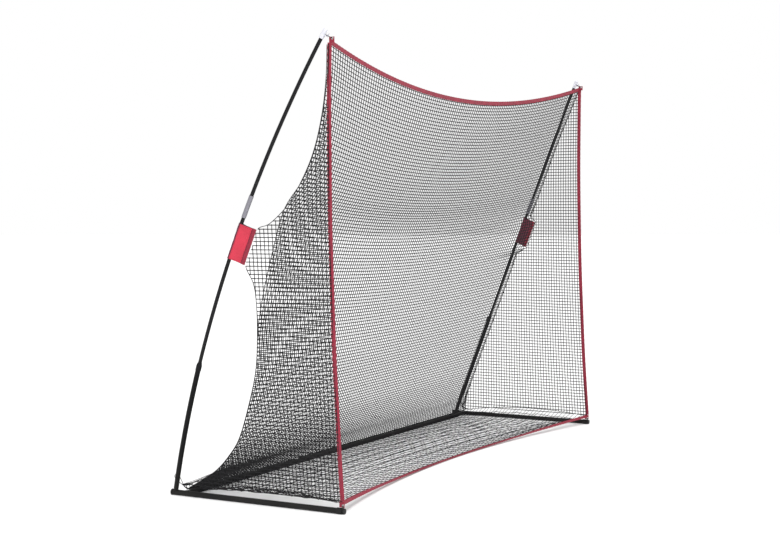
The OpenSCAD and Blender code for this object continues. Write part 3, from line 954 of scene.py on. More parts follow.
@dataclass
class Finishes:
    """Every material of the net, made once."""

    shop: Workshop = field(default_factory=Workshop)

    def __post_init__(self) -> None:
        """Makes the materials."""
        shop = self.shop
        self.steel = HardFinish(
            "powder_coated_steel", (0.003, 0.003, 0.0035), (0.03, 0.03, 0.034), 0.42,
            grain=520.0, bump=0.00009, gloss=0.14, dust=0.06,
        ).make(shop)
        self.black_plastic = HardFinish(
            "moulded_black_plastic", (0.005, 0.005, 0.006), (0.03, 0.03, 0.034), 0.50,
            grain=1600.0, bump=0.00006, gloss=0.16, dust=0.06,
        ).make(shop)
        self.pale_plastic = HardFinish(
            "pale_translucent_plastic", (0.66, 0.66, 0.72), (0.80, 0.80, 0.84), 0.34,
            grain=300.0, bump=0.00003, milky=0.45, dust=0.0, coat=0.2,
        ).make(shop)
        self.zinc = HardFinish(
            "zinc_plated_spring_steel", (0.55, 0.54, 0.52), (0.72, 0.71, 0.70), 0.28,
            metallic=1.0, grain=800.0, scuff=60.0, bump=0.00002, dust=0.1,
        ).make(shop)
        self.ferrule = HardFinish(
            "drawn_ferrule_metal", (0.27, 0.265, 0.30), (0.36, 0.35, 0.39), 0.46,
            metallic=0.55, grain=700.0, scuff=40.0, bump=0.00003, dust=0.0,
        ).make(shop)
        self.eyelet = HardFinish(
            "nickel_eyelet", (0.42, 0.41, 0.40), (0.6, 0.6, 0.6), 0.26,
            metallic=1.0, grain=900.0, scuff=80.0, bump=0.00002, dust=0.1,
        ).make(shop)
        self.fibre = FibreFinish().make(shop)
        self.twine = TwineFinish(
            "net_twine", (0.008, 0.008, 0.009), (0.026, 0.026, 0.028)
        ).make(shop)
        self.selvage = TwineFinish(
            "selvage_twine", (0.008, 0.008, 0.009), (0.026, 0.026, 0.028), lay=1100.0
        ).make(shop)
        self.elastic = TwineFinish(
            "braided_elastic", (0.008, 0.008, 0.009), (0.03, 0.03, 0.034), lay=900.0
        ).make(shop)
        self.thread = TwineFinish(
            "red_thread", (0.36, 0.018, 0.045), (0.52, 0.05, 0.09), lay=2600.0
        ).make(shop)
        self.binding = ClothFinish(
            "red_binding_webbing", (0.29, 0.009, 0.034), (0.21, 0.007, 0.026), ribbed=True,
            warp=1500.0, weft=620.0, sheen=0.03,
        ).make(shop)
        # Painted shade: the wrap and the flap's rolled root take a darker copy of the flap's red
        # oxford, standing in for the shade round the pole.
        self.sleeve = ClothFinish(
            "sleeve_oxford_painted_shade", (0.125, 0.007, 0.030), (0.085, 0.005, 0.021), sheen=0.03
        ).make(shop)
        self.flap = ClothFinish(
            "sleeve_oxford_bright", (0.58, 0.022, 0.055), (0.47, 0.016, 0.043), sheen=0.05
        ).make(shop)
        self.hooks = ClothFinish(
            "hook_and_loop", (0.30, 0.014, 0.04), (0.20, 0.010, 0.03),
            warp=700.0, weft=700.0, depth=0.0009, sheen=0.6,
        ).make(shop)
        self.floor = self.plain_floor()

    def plain_floor(self) -> bpy.types.Material:
        """The studio's plain pale floor."""
        material, wire, shader = self.shop.start("studio_floor")
        where = wire.add("TexCoord").outputs["Object"]
        cloud = wire.add("TexNoise", {"Vector": where, "Scale": 0.4, "Detail": 2.0})
        base = wire.mix(cloud.outputs[0], (0.88, 0.88, 0.88), (0.90, 0.90, 0.90))
        wire.feed(shader.inputs["Base Color"], base)
        shader.inputs["Roughness"].default_value = 0.9
        shader.inputs["Specular IOR Level"].default_value = 0.1
        return material


# --- Sub-assemblies --------------------------------------------------------------------

@dataclass
class HardParts:
    """The CAD nodes whose shapes stay, and the weld beads on the frame."""

    finishes: Finishes
    pole: PoleLine = PoleLine()
    tube_r: float = 0.0127
    post_r: float = 0.0107
    bar_y: float = 0.395
    bead: float = 0.0034

    def dress(self) -> None:
        """Gives every hard CAD node its material."""
        fin = self.finishes
        wardrobe = {
            "side_foot": fin.steel, "crossbar": fin.steel, "upright_tube": fin.steel,
            "front_cap": fin.black_plastic, "rear_cap": fin.black_plastic,
            "upright_collar": fin.black_plastic, "lower_pole": fin.fibre,
            "upper_pole": fin.fibre, "ferrule": fin.ferrule, "pole_cap": fin.pale_plastic,
            "snap_button": fin.zinc, "snap_spring": fin.zinc,
        }
        for name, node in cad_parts.items():
            stem = next((k for k in wardrobe if name.startswith(k)), None)
            if stem is None or name == "crossbar_hem":
                continue
            for held in node.material_slots:
                held.material = wardrobe[stem]
            LOG.info("%s: %s", name, wardrobe[stem].name)

    def stub_bead(self) -> np.ndarray:
        """The saddle line where the crossbar stub meets the foot."""
        turns = np.linspace(0, 2 * math.pi, 72, endpoint=False)
        foot = np.array(self.pole.foot)
        return np.array([
            (foot[0] - self.tube_r * abs(math.cos(a)) - 0.0004,
             self.bar_y + self.tube_r * math.cos(a) * 1.02,
             foot[2] + self.tube_r * math.sin(a) * 1.02)
            for a in turns
        ])

    def post_bead(self) -> np.ndarray:
        """The line where the upright's post meets the top of the foot."""
        line = []
        foot = self.pole.foot
        for a in np.linspace(0, 2 * math.pi, 60, endpoint=False):
            run = 0.0
            spot = Vector()
            while run < 0.04:
                spot = self.pole.at(run) @ Vector(
                    (self.post_r * math.cos(a), self.post_r * math.sin(a), 0.0)
                )
                if math.hypot(spot.x - foot[0], spot.z - foot[2]) > self.tube_r and spot.z > foot[2]:
                    break
                run += 0.0004
            line.append(spot)
        return np.array(line)

    def weld(self, side: Side) -> bpy.types.Object:
        """Lays the rippled weld beads of one foot.

        Args:
            side: Which foot.

        Returns:
            The beads, as one piece.
        """
        beads = []
        for i, line in enumerate((self.stub_bead(), self.post_bead())):
            path = side.turn(line)
            bead = strands(f"bead_{i}", [path], self.bead, sides=2, closed=True)
            mesh = bead.data
            spots = np.empty(len(mesh.vertices) * 3)
            mesh.vertices.foreach_get("co", spots)
            spots = spots.reshape(-1, 3)
            nearest = np.linalg.norm(spots[:, None] - path[None], axis=2).argmin(axis=1)
            ripple = 1 + 0.16 * np.sin(nearest * 1.55)
            spots = path[nearest] + (spots - path[nearest]) * ripple[:, None]
            mesh.vertices.foreach_set("co", spots.ravel())
            beads.append(bead)
        piece = joined(f"weld_beads_{side.word}", beads)
        return finish_piece(piece, "frame", Slot.STEEL, self.finishes.steel)


@dataclass
class Netting:
    """The bag's panels as real twine, with the cords that join them."""

    finishes: Finishes
    outline: NetOutline = NetOutline()
    twine: float = 0.0043
    back_mesh: tuple[float, float] = (0.0240, 0.0186)
    side_mesh: tuple[float, float] = (0.0188, 0.0186)
    floor_mesh: tuple[float, float] = (0.062, 0.0235)
    floor_twine: float = 0.0028
    knot: tuple[float, float, float] = (0.0050, 0.0044, 0.0025)
    selvage: float = 0.0034
    bar: tuple[float, float] = (0.395, 0.014)
    bar_reach: float = 1.438
    button_x: float = 0.529
    window: float = 0.013

    def even_rows(self, pitch: float) -> np.ndarray:
        """Shares down the back panel that stand one mesh apart along the seam."""
        shares = np.linspace(0, 1, 600)
        line = np.array([self.outline.back(-1.0, v) for v in shares])
        run = np.r_[0, np.cumsum(np.linalg.norm(np.diff(line, axis=0), axis=1))]
        count = round(run[-1] / pitch)
        return np.interp(np.linspace(0, run[-1], count + 1), run, shares)

    def weave(
        self, name: str, grid: np.ndarray, twine: float, lead_in: Sequence[float] | None = None
    ) -> tuple[bpy.types.Object, bpy.types.Object]:
        """Makes a panel of twine and knots over a grid of crossings.

        Args:
            name: The panel's name.
            grid: Crossings as rows of points.
            twine: Diameter of the twine.
            lead_in: How the upright twines run on past the first row.

        Returns:
            The twine and its knots.
        """
        rows, cols = grid.shape[:2]
        keep = sorted({*range(0, rows, 2), rows - 1})
        kept = sorted({*range(0, cols, 2), cols - 1})
        paths: Paths = [grid[i, kept] for i in range(rows)]
        for j in range(1, cols - 1):
            upright = grid[keep, j]
            if lead_in is not None:
                upright = np.vstack([upright[0] + lead_in, upright])
            paths.append(upright)
        panel = strands(name, paths, twine)
        inner = grid[1:-1, 1:-1]
        across = unit(grid[1:-1, 2:] - grid[1:-1, :-2]).reshape(-1, 3)
        down = (grid[2:, 1:-1] - grid[:-2, 1:-1]).reshape(-1, 3)
        down = unit(down - across * (down * across).sum(axis=1, keepdims=True))
        size = tuple(part * twine / self.twine for part in self.knot)
        tied = knots(f"{name}_knots", inner.reshape(-1, 3), across, down, size)
        return panel, tied

    def declare(
        self, panel: bpy.types.Object, tied: bpy.types.Object, flat: tuple[float, float],
        share: float, rests: Sequence[str], *nodes: str,
    ) -> None:
        """Dresses one panel and hides the CAD nodes that it stands for.

        Args:
            panel: The panel's twine.
            tied: Its knots.
            flat: The panel's flat size; not used.
            share: How much of the flat size is twine; not used.
            rests: What holds it; not used.
            nodes: The CAD nodes that it stands for.
        """
        fin = self.finishes
        for piece in (panel, tied):
            finish_piece(piece, "frame", Slot.NET, fin.twine)
        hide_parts(*nodes)

    def back(self) -> None:
        """The back panel, from the top binding down to the crossbar."""
        shares = self.even_rows(self.back_mesh[1])
        cols = round(2 * self.outline.foot_x / self.back_mesh[0])
        grid = np.array([
            [self.outline.back(s, v) for s in np.linspace(-1, 1, cols + 1)] for v in shares
        ])
        panel, tied = self.weave("back_net", grid, self.twine, lead_in=(0.0, 0.0, 0.010))
        self.declare(
            panel, tied, (3.05, 2.30), 0.58, ["binding_top", "crossbar_centre"], "net_back"
        )

    def floor(self) -> None:
        """The slack floor panel, from the crossbar to the bottom binding."""
        cols = round(2 * self.outline.foot_x / self.floor_mesh[0])
        rows = round(0.80 / self.floor_mesh[1])
        grid = np.array([
            [
                np.array(self.outline.floor(s, w))
                + (0.0045 * math.sin(21 * w + 3.1 * math.sin(9 * s)) * hump(w), 0.0, 0.0)
                for s in np.linspace(-1, 1, cols + 1)
            ]
            for w in np.linspace(0, 1, rows + 1)
        ])
        panel, tied = self.weave("floor_net", grid, self.floor_twine)
        self.declare(
            panel, tied, (3.05, 0.80), 0.30, ["binding_bottom", "crossbar_centre"], "net_floor"
        )

    def side_rows(self, side: Side) -> tuple[Paths, Paths, np.ndarray]:
        """One side panel's twines, cut at its rear edge and drawn on the right.

        Args:
            side: Which side panel.

        Returns:
            The level twines, the upright twines, and the crossings.
        """
        out = self.outline
        wide, tall = self.side_mesh
        edge = np.array([along(out.edge(side), t) for t in np.linspace(0, 1, 800)])
        levels = np.arange(0.040, out.net_h - 0.012, tall)
        rear = np.interp(levels, edge[:, 1], edge[:, 0])
        fronts = np.array([out.front_y(z) for z in levels])
        level_paths: Paths = []
        upright_paths: Paths = []
        crossings = []
        for z, front, back in zip(levels, fronts, rear):
            ys = [front + 0.004 + k * wide for k in range(int((back - front) / wide) + 1)]
            inside = [y for y in ys if y < back - 0.002 and z > out.low_edge(y) + 0.002]
            if len(inside) < 2:
                continue
            ends = [y for y in (back,) if z > out.low_edge(back) + 0.002]
            level_paths.append(np.array([out.side(y, z) for y in inside + ends]))
            crossings += [out.side(y, z) for y in inside]
        for k in range(60):
            run: list[tuple[float, float, float]] = []
            for z, front, back in zip(levels, fronts, rear):
                y = front + 0.004 + k * wide
                if y < back and z > out.low_edge(y):
                    if not run and z < 0.14:
                        run.append(out.side(y, out.low_edge(y)))
                    run.append(out.side(y, z))
                elif len(run) > 1:
                    upright_paths.append(np.array(run))
                    run = []
                else:
                    run = []
            if len(run) > 1:
                upright_paths.append(np.array(run))
        return level_paths, upright_paths, np.array(crossings)

    def sides(self) -> None:
        """Both side panels, each with its ear to the pole sleeve."""
        for side in Side:
            level, upright, crossings = self.side_rows(side)
            panel = strands(
                f"side_net_{side.word}", [side.turn(p) for p in level + upright], self.twine
            )
            spots = side.turn(crossings)
            across = np.tile((0.0, 1.0, 0.0), (len(spots), 1))
            down = np.tile((0.0, 0.0, 1.0), (len(spots), 1))
            tied = knots(f"side_net_{side.word}_knots", spots, across, down, self.knot)
            self.declare(
                panel, tied, (0.32 if side is Side.LEFT else 0.44, 2.05), 0.64,
                [f"binding_{side.word}", f"pole_sleeve_{side.word}"], f"net_side_{side.word}",
            )

    def edge_cords(self) -> None:
        """Selvage round each side panel, and the seam that laces it to the back."""
        out = self.outline
        shares = np.linspace(0, 1, 420)
        front = np.linspace(out.bottom_y + 0.008, out.floor_rear, 60)
        for side in Side:
            edge = [along(out.edge(side), t) for t in shares]
            below = [p for p in edge if p[1] < 1.104]
            above = [p for p in edge if p[1] > 1.267]
            seam = out.seam(side)
            runs = [
                side.turn(np.array([out.side(y, z) for y, z in run])) for run in (below, above)
            ]
            runs.append(side.turn(np.array([out.side(y, out.low_edge(y)) for y in front])))
            line = side.turn(np.array([out.side(y, z) for y, z in seam]))
            line[:, 0] -= side.value * 0.001
            runs.append(line)
            cord = strands(f"edge_cord_{side.word}", runs, self.selvage, sides=1)
            coil = coiled(line, 3, 0.9, 0.0026 * np.eye(3)[:2])
            lacing = strands(f"lacing_{side.word}", [coil], 0.0014)
            piece = joined(f"edge_cords_{side.word}", [cord, lacing])
            finish_piece(piece, "frame", Slot.NET, self.finishes.selvage)

    def channel(self) -> None:
        """The net channel: twine wrapped round the crossbar and tied to both panels."""
        bar_y, bar_z = self.bar
        radius = 0.0140
        low = 0.0016
        wraps: Paths = []

        def round_bar(x: float, angle: float) -> tuple[float, float, float]:
            """A point of the channel, pressed flat where it meets the ground."""
            return (
                x, bar_y + radius * math.cos(angle), max(bar_z + radius * math.sin(angle), low)
            )

        open_at = [
            (s * self.button_x - self.window, s * self.button_x + self.window) for s in (-1, 1)
        ]
        for x in np.arange(-self.bar_reach, self.bar_reach, 0.0145):
            if any(a < x < b for a, b in open_at):
                continue
            lean = 0.004 * math.sin(x * 31)
            tie = (x - lean, 0.3885, 0.0335)
            turns = np.radians(np.linspace(118, -212, 15))
            wraps.append(np.array(
                [tie] + [round_bar(x + lean * i / len(turns), a) for i, a in enumerate(turns)]
            ))
        spans = [
            (-self.bar_reach, open_at[0][0]), (open_at[0][1], open_at[1][0]),
            (open_at[1][1], self.bar_reach),
        ]
        for start, end in spans:
            for angle in np.radians((-150, -95, -30, 20, 62, 95, 150)):
                wraps.append(np.array([
                    round_bar(x, angle + 0.12 * math.sin(x * 23 + angle))
                    for x in np.arange(start, end, 0.03)
                ]))
        net = strands("channel_twine", wraps, 0.0019)
        edge = np.array([
            (x, 0.3878 + 0.0012 * math.sin(x * 70), 0.0325 + 0.0016 * math.sin(x * 45 + 1))
            for x in np.arange(-1.515, 1.516, 0.012)
        ])
        coil = coiled(edge, 4, 0.8, 0.0030 * np.eye(3)[1:])
        hem = strands("channel_edge", [edge, coil], 0.0026)
        piece = joined("channel_net", [net, hem])
        finish_piece(piece, "frame", Slot.NET, self.finishes.selvage)
        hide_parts("crossbar_hem")

    def rear_gathers(self) -> None:
        """The bunched corners of the net, pulled to the rear elastic loops."""
        out = self.outline
        loop = out.pole.at(ElasticLoops.run, out.pole.net_turn - math.pi / 2) @ Matrix.Rotation(
            math.radians(-ElasticLoops.tilt), 4, "X"
        )
        tip = np.array(loop @ Vector((0.0, ElasticLoops.rear[2] + 0.0012, 0.0)))
        for side in Side:
            paths: Paths = []
            for k in range(15):
                share = k / 14
                y, z = along(out.edge(side), share * 0.10)
                if k % 3 == 2:
                    y, z = out.floor_rear - 0.05 * share, out.low_edge(out.floor_rear)
                start = np.array(out.side(y, z))
                sag = 0.010 * math.sin(k * 2.4)
                swing = 0.006 * math.sin(k * 1.7 + 1)
                line = []
                for t in np.linspace(0, 1, 9):
                    spread = math.sin(math.pi * t)
                    tight = t**0.7
                    line.append(
                        start * (1 - tight) + tip * tight
                        + np.array((swing, 0.0, -abs(sag))) * spread
                        + np.array((math.sin(k), math.cos(k), math.sin(k * 2))) * 0.0018 * t
                    )
                paths.append(side.turn(np.array(line)))
            turns = np.linspace(0, 5 * 2 * math.pi, 60)
            middle = side.turn(tip)
            wrap = np.array([
                middle + (0.0034 * math.cos(a), -0.005 + 0.0016 * a / 6.3, 0.0034 * math.sin(a))
                for a in turns
            ])
            bunch = strands(f"bunch_{side.word}", paths, 0.0021)
            whip = strands(f"whip_{side.word}", [wrap], 0.0015)
            piece = joined(f"rear_gather_{side.word}", [bunch, whip])
            finish_piece(piece, "frame", Slot.NET, self.finishes.twine)

    def build(self) -> None:
        """Makes every part of the bag's netting."""
        self.back()
        self.floor()
        self.sides()
        self.edge_cords()
        self.channel()
        self.rear_gathers()


@dataclass
class Binding:
    """The folded red webbing round the opening, with its stitching."""

    finishes: Finishes
    outline: NetOutline = NetOutline()
    width: float = 0.022
    step: float = 0.006
    stitch: float = 0.0065
    thread: float = 0.0007
    profile: tuple[tuple[float, float], ...] = (
        (-1.00, 0.15), (-0.96, 0.70), (-0.88, 1.00), (-0.78, 1.00), (-0.72, 0.70), (-0.66, 0.98),
        (-0.33, 0.94), (0.0, 0.90), (0.33, 0.94), (0.66, 0.98), (0.72, 0.70), (0.78, 1.00),
        (0.88, 1.00), (0.96, 0.80), (1.00, 0.30),
    )
    half_thick: float = 0.0013

    def section(self, u: float) -> tuple[float, float]:
        """A point of the tape's closed section.

        Args:
            u: Share of the way round it.

        Returns:
            The place across the tape and through it, in metres.
        """
        across = np.array([p[0] for p in self.profile])
        thick = np.array([p[1] for p in self.profile])
        ring = np.concatenate([across, across[::-1]]) * self.width / 2
        rise = np.concatenate([thick, -thick[::-1]]) * self.half_thick
        walk = (u % 1.0) * len(ring)
        i = int(walk) % len(ring)
        j = (i + 1) % len(ring)
        f = walk - int(walk)
        return lerp(ring[i], ring[j], f), lerp(rise[i], rise[j], f)

    def tape(
        self, name: str, line: Callable[[float], tuple], length: float, body: str = "frame"
    ) -> None:
        """Makes one strip of folded webbing and its four rows of stitches.

        Args:
            name: The CAD node that it stands for.
            line: Gives the middle, the across and the through directions at a share along.
            length: The strip's length.
            body: The body that it rides on.
        """
        ring = 2 * len(self.profile)

        def place(u: float, v: float) -> Sequence[float]:
            """A point of the tape, with a slight pucker where the twines pull."""
            middle, across, through = line(v)
            a, b = self.section(u)
            pucker = 0.0005 * math.sin(v * length * 2 * math.pi / 0.030)
            return middle + across * (a + pucker) + through * (b + 0.6 * pucker)

        piece = fitted_grid(
            name + "_tape", ring, int(length / self.step), place, (2 * self.width, length)
        )
        face_out(piece)
        pick(piece)
        bpy.ops.object.shade_smooth_by_angle(angle=math.radians(40))
        finish_piece(piece, body, Slot.WEBBING, self.finishes.binding)
        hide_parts(name)
        paths: Paths = []
        count = int(length / self.stitch)
        for face in (-1, 1):
            for row in (-0.72, 0.72):
                for k in range(1, count):
                    v0, v1 = (k + 0.16) / count, (k + 0.84) / count
                    ends = []
                    for v, lift in ((v0, 0.80), (lerp(v0, v1, 0.25), 1.12),
                                    (lerp(v0, v1, 0.75), 1.12), (v1, 0.80)):
                        middle, across, through = line(v)
                        ends.append(
                            middle + across * (row * self.width / 2)
                            + through * (face * lift * self.half_thick)
                        )
                    paths.append(np.array(ends))
        seam = strands(name + "_stitches", paths, self.thread)
        finish_piece(seam, body, Slot.WEBBING, self.finishes.thread)

    def top_line(self, v: float) -> tuple:
        """The top strip, which hangs in a curve."""
        out = self.outline
        s = 2 * v - 1
        half = out.foot_x - 0.0045 - 0.0030
        hang = 1 - s * s
        middle = np.array((
            s * half, out.top_y + out.top_back * hang + 0.0013,
            out.net_h - out.top_drop - out.top_sag * hang - self.width / 2,
        ))
        return middle, np.array((0.0, 0.0, 1.0)), np.array((0.0, -1.0, 0.0))

    def bottom_line(self, v: float) -> tuple:
        """The bottom strip, which lies back and stands up towards its ends."""
        out = self.outline
        s = 2 * v - 1
        half = out.foot_x - 0.0027
        y, z = out.bottom_tape(s)
        tilt = math.radians(30) * s * s
        across = np.array((0.0, math.cos(tilt), math.sin(tilt)))
        middle = np.array((s * half, y, z + 0.0014 + self.width / 2 * math.sin(tilt)))
        return middle, across, np.array((0.0, -math.sin(tilt), math.cos(tilt)))

    def side_line(self, side: Side) -> Callable[[float], tuple]:
        """The upright strip of one side."""
        out = self.outline

        def line(v: float) -> tuple:
            """The strip's frame at a share of its height."""
            z = lerp(out.bottom_z + 0.001, 2.0925, v)
            sway = 0.0010 * math.sin(z * 11)
            middle = np.array((side.value * (out.foot_x + sway), out.front_y(z), z))
            return middle, np.array((0.0, 1.0, 0.0)), np.array((float(side.value), 0.0, 0.0))

        return line

    def build(self) -> None:
        """Makes the four strips."""
        self.tape("binding_top", self.top_line, 3.07)
        self.tape("binding_bottom", self.bottom_line, 3.08)
        for side in Side:
            self.tape(f"binding_{side.word}", self.side_line(side), 2.04)


@dataclass
class CornerTabs:
    """The doubled webbing squares with eyelets at the opening's corners."""

    finishes: Finishes
    holes: dict[str, tuple[float, float]] = field(
        default_factory=lambda: {"top": (-0.4117, 2.1109), "bottom": (-0.466, 0.039)}
    )
    hole_r: float = 0.0045
    ring: float = 0.0011
    thread: float = 0.0008

    def build(self) -> None:
        """Makes all four tabs."""
        for side in Side:
            for level, hole in self.holes.items():
                self.tab(f"corner_tab_{level}_{side.word}", side, hole)

    def tab(self, node: str, side: Side, hole: tuple[float, float]) -> None:
        """Makes one tab.

        Args:
            node: The CAD node that it stands for.
            side: Which side it is on.
            hole: Middle of its eyelet, as y and z.
        """
        low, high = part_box(node)
        middle, size = (low + high) / 2, high - low
        pick()
        bpy.ops.mesh.primitive_cube_add(size=1.0, location=middle)
        tab = named(node + "_webbing")
        tab.scale = size
        freeze(tab)
        bpy.ops.object.mode_set(mode="EDIT")
        bpy.ops.mesh.select_all(action="SELECT")
        bpy.ops.mesh.subdivide(number_cuts=7)
        bpy.ops.object.mode_set(mode="OBJECT")
        for corner in tab.data.vertices:
            y = (corner.co.y - middle.y) / size.y * 2
            z = (corner.co.z - middle.z) / size.z * 2
            rim = max(abs(y), abs(z))
            puff = 1.0 - 0.22 * max(0.0, 1 - abs(rim - 0.75) / 0.14)
            corner.co.x = middle.x + (corner.co.x - middle.x) * puff
        pick()
        bpy.ops.mesh.primitive_cylinder_add(
            vertices=40, radius=self.hole_r, depth=0.02,
            location=(middle.x, *hole), rotation=(0, math.pi / 2, 0),
        )
        drill = named("drill")
        cutter = tab.modifiers.new("Hole", "BOOLEAN")
        cutter.operation = "DIFFERENCE"
        cutter.object = drill
        edge = tab.modifiers.new("Edge", "BEVEL")
        edge.width, edge.segments = 0.0005, 2
        edge.limit_method, edge.angle_limit = "ANGLE", math.radians(50)
        settle(tab)
        bpy.data.objects.remove(drill)
        self.flat_uv(tab)
        finish_piece(tab, "frame", Slot.WEBBING, self.finishes.binding)
        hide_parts(node)
        rings = []
        for face in (-1, 1):
            pick()
            bpy.ops.mesh.primitive_torus_add(
                major_radius=self.hole_r + 0.0006, minor_radius=self.ring,
                major_segments=40, minor_segments=10,
                location=(middle.x + face * size.x / 2, *hole), rotation=(0, math.pi / 2, 0),
            )
            rings.append(freeze(named("ring")))
        eyelet = joined(node + "_eyelet", rings)
        pick(eyelet)
        bpy.ops.object.shade_smooth()
        finish_piece(eyelet, "frame", Slot.WEBBING, self.finishes.eyelet)
        self.box_stitch(node, middle, size)

    def flat_uv(self, tab: bpy.types.Object) -> None:
        """Lays the tab's UV map flat on its side, in metres."""
        mesh = tab.data
        layer = mesh.uv_layers.active or mesh.uv_layers.new(name="UVMap")
        for loop in mesh.loops:
            spot = mesh.vertices[loop.vertex_index].co
            layer.data[loop.index].uv = (spot.y, spot.z)

    def box_stitch(self, node: str, middle: Vector, size: Vector) -> None:
        """Sews a square of stitches on both faces of a tab.

        Args:
            node: The tab's CAD node.
            middle: Middle of the tab.
            size: Size of the tab.
        """
        paths: Paths = []
        reach = 0.375
        corners = [(-reach, -reach), (reach, -reach), (reach, reach), (-reach, reach)]
        for face in (-1, 1):
            x = middle.x + face * size.x * 0.42
            for k, start in enumerate(corners):
                end = corners[(k + 1) % 4]
                for n in range(6):
                    a, b = (n + 0.15) / 6, (n + 0.85) / 6
                    paths.append(np.array([
                        (x + face * up,
                         middle.y + lerp(start[0], end[0], t) * size.y,
                         middle.z + lerp(start[1], end[1], t) * size.z)
                        for t, up in ((a, -0.0003), (lerp(a, b, 0.3), 0.0004),
                                      (lerp(a, b, 0.7), 0.0004), (b, -0.0003))
                    ]))
        seam = strands(node + "_stitches", paths, self.thread, sides=1)
        finish_piece(seam, "frame", Slot.WEBBING, self.finishes.thread)


@dataclass
class PoleSleeves:
    """The red fabric sleeves that tie the net's ears to the poles, and their flaps."""

    finishes: Finishes
    pole: PoleLine = PoleLine()
    run: float = 1.277
    length: float = 0.172
    reach: float = 0.077
    radius: float = 0.01055
    wall: float = 0.0013
    flap: float = 0.058
    hinge_y: float = 0.0127
    edge_y: float = 0.0027
    band: float = 0.018

    def laid(self, side: Side, x: float, y: float, z: float) -> np.ndarray:
        """A point given in the sleeve's own axes: x to the net, y outward, z up the pole."""
        spot = self.pole.at(self.run, self.pole.net_turn) @ Vector((x, y, z))
        return side.turn(np.array(spot))

    def wrap_line(self, u: float) -> tuple[float, float]:
        """The fabric's path round the pole, from one end of the tail to the other."""
        tail, meet, gap = self.reach, 0.027, 0.00072
        lean = math.asin((self.radius - gap) / meet)
        touch = math.pi / 2 - lean
        slope = math.hypot(
            meet - self.radius * math.cos(touch), self.radius * math.sin(touch) - gap
        )
        arc = self.radius * (2 * math.pi - 2 * touch)
        parts = [tail - meet, slope, arc, slope, tail - meet]
        walk = u * sum(parts)
        ends = np.cumsum(parts)
        if walk <= ends[0]:
            return tail - walk, -gap
        if walk <= ends[1]:
            t = (walk - ends[0]) / slope
            return (lerp(meet, self.radius * math.cos(touch), t),
                    -lerp(gap, self.radius * math.sin(touch), t))
        if walk <= ends[2]:
            a = -touch - (walk - ends[1]) / self.radius
            return self.radius * math.cos(a), self.radius * math.sin(a)
        if walk <= ends[3]:
            t = 1 - (walk - ends[2]) / slope
            return (lerp(meet, self.radius * math.cos(touch), t),
                    lerp(gap, self.radius * math.sin(touch), t))
        return lerp(meet, tail, (walk - ends[3]) / (tail - meet)), gap

    def wrap(self, side: Side) -> None:
        """The folded body of one sleeve."""

        def place(u: float, v: float) -> Sequence[float]:
            """A point of the fabric, with shallow creases along the pole."""
            x, y = self.wrap_line(u)
            z = (v - 0.5) * self.length
            bend = math.exp(-((u - 0.5) / 0.16) ** 2)
            crease = 0.00035 * math.sin(9 * v * math.pi + 5 * u) * bend
            reach = math.hypot(x, y) or 1.0
            return self.laid(side, x + crease * x / reach, y + crease * y / reach, z)

        width = 2 * self.reach + 0.036
        piece = fitted_grid(f"sleeve_wrap_{side.word}", 96, 56, place, (width, self.length))
        cloth(piece, self.wall, 0.0004)
        face_out(piece)
        # The wrap wears the painted-shade copy of the red oxford.
        finish_piece(piece, "frame", Slot.SLEEVE, self.finishes.sleeve)
        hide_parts(f"pole_sleeve_{side.word}")

    def edge_band(self, side: Side) -> None:
        """The dark stitched band over the tail's net side."""

        def place(u: float, v: float) -> Sequence[float]:
            """A point of the band, folded over the tail's end."""
            walk = (u - 0.5) * 2
            flat = self.band
            x = self.reach + 0.0012 - flat * abs(walk) ** 1.15
            y = 0.0022 * math.copysign(min(1.0, abs(walk) * 5) ** 0.5, walk)
            wave = 0.0003 * math.sin(v * 40)
            return self.laid(side, x, y + wave, (v - 0.5) * (self.length + 0.001))

        piece = fitted_grid(
            f"sleeve_band_{side.word}", 40, 50, place, (2 * self.band, self.length)
        )
        cloth(piece, 0.0010, 0.0003)
        face_out(piece)
        finish_piece(piece, "frame", Slot.SLEEVE, self.finishes.binding)
        paths: Paths = []
        for face in (-1, 1):
            for x in (self.reach - 0.004, self.reach - self.band + 0.004):
                for k in range(30):
                    z0 = (k / 30 - 0.5) * self.length
                    paths.append(np.array([
                        self.laid(side, x, face * up, z0 + share * self.length / 30)
                        for share, up in (
                            (0.1, 0.0024), (0.35, 0.0033), (0.65, 0.0033), (0.9, 0.0024)
                        )
                    ]))
        seam = strands(f"sleeve_band_stitches_{side.word}", paths, 0.0010, sides=1)
        finish_piece(seam, "frame", Slot.SLEEVE, self.finishes.thread)

    def flap_point(self, side: Side, u: float, v: float, lift: float = 0.0) -> np.ndarray:
        """A point of the flap's middle surface.

        Args:
            side: Which sleeve.
            u: Across, from 0 at the hinge to 1 at the free edge.
            v: Share of the height.
            lift: Distance outward from the surface.

        Returns:
            The point.
        """
        x = u * self.flap
        base = lerp(self.hinge_y, self.edge_y, u)
        swell = 0.0011 * math.sin(math.pi * u) ** 0.8 if 0 < u < 1 else 0.0
        dent = math.exp(-((v - 0.42) / 0.035) ** 2)
        crease = -0.0007 * dent * math.sin(math.pi * min(u * 1.1, 1))
        ripple = 0.00025 * math.sin(11 * v + 4 * u)
        return self.laid(
            side, x, base + swell + crease + ripple + lift, (v - 0.5) * (self.length - 0.004)
        )

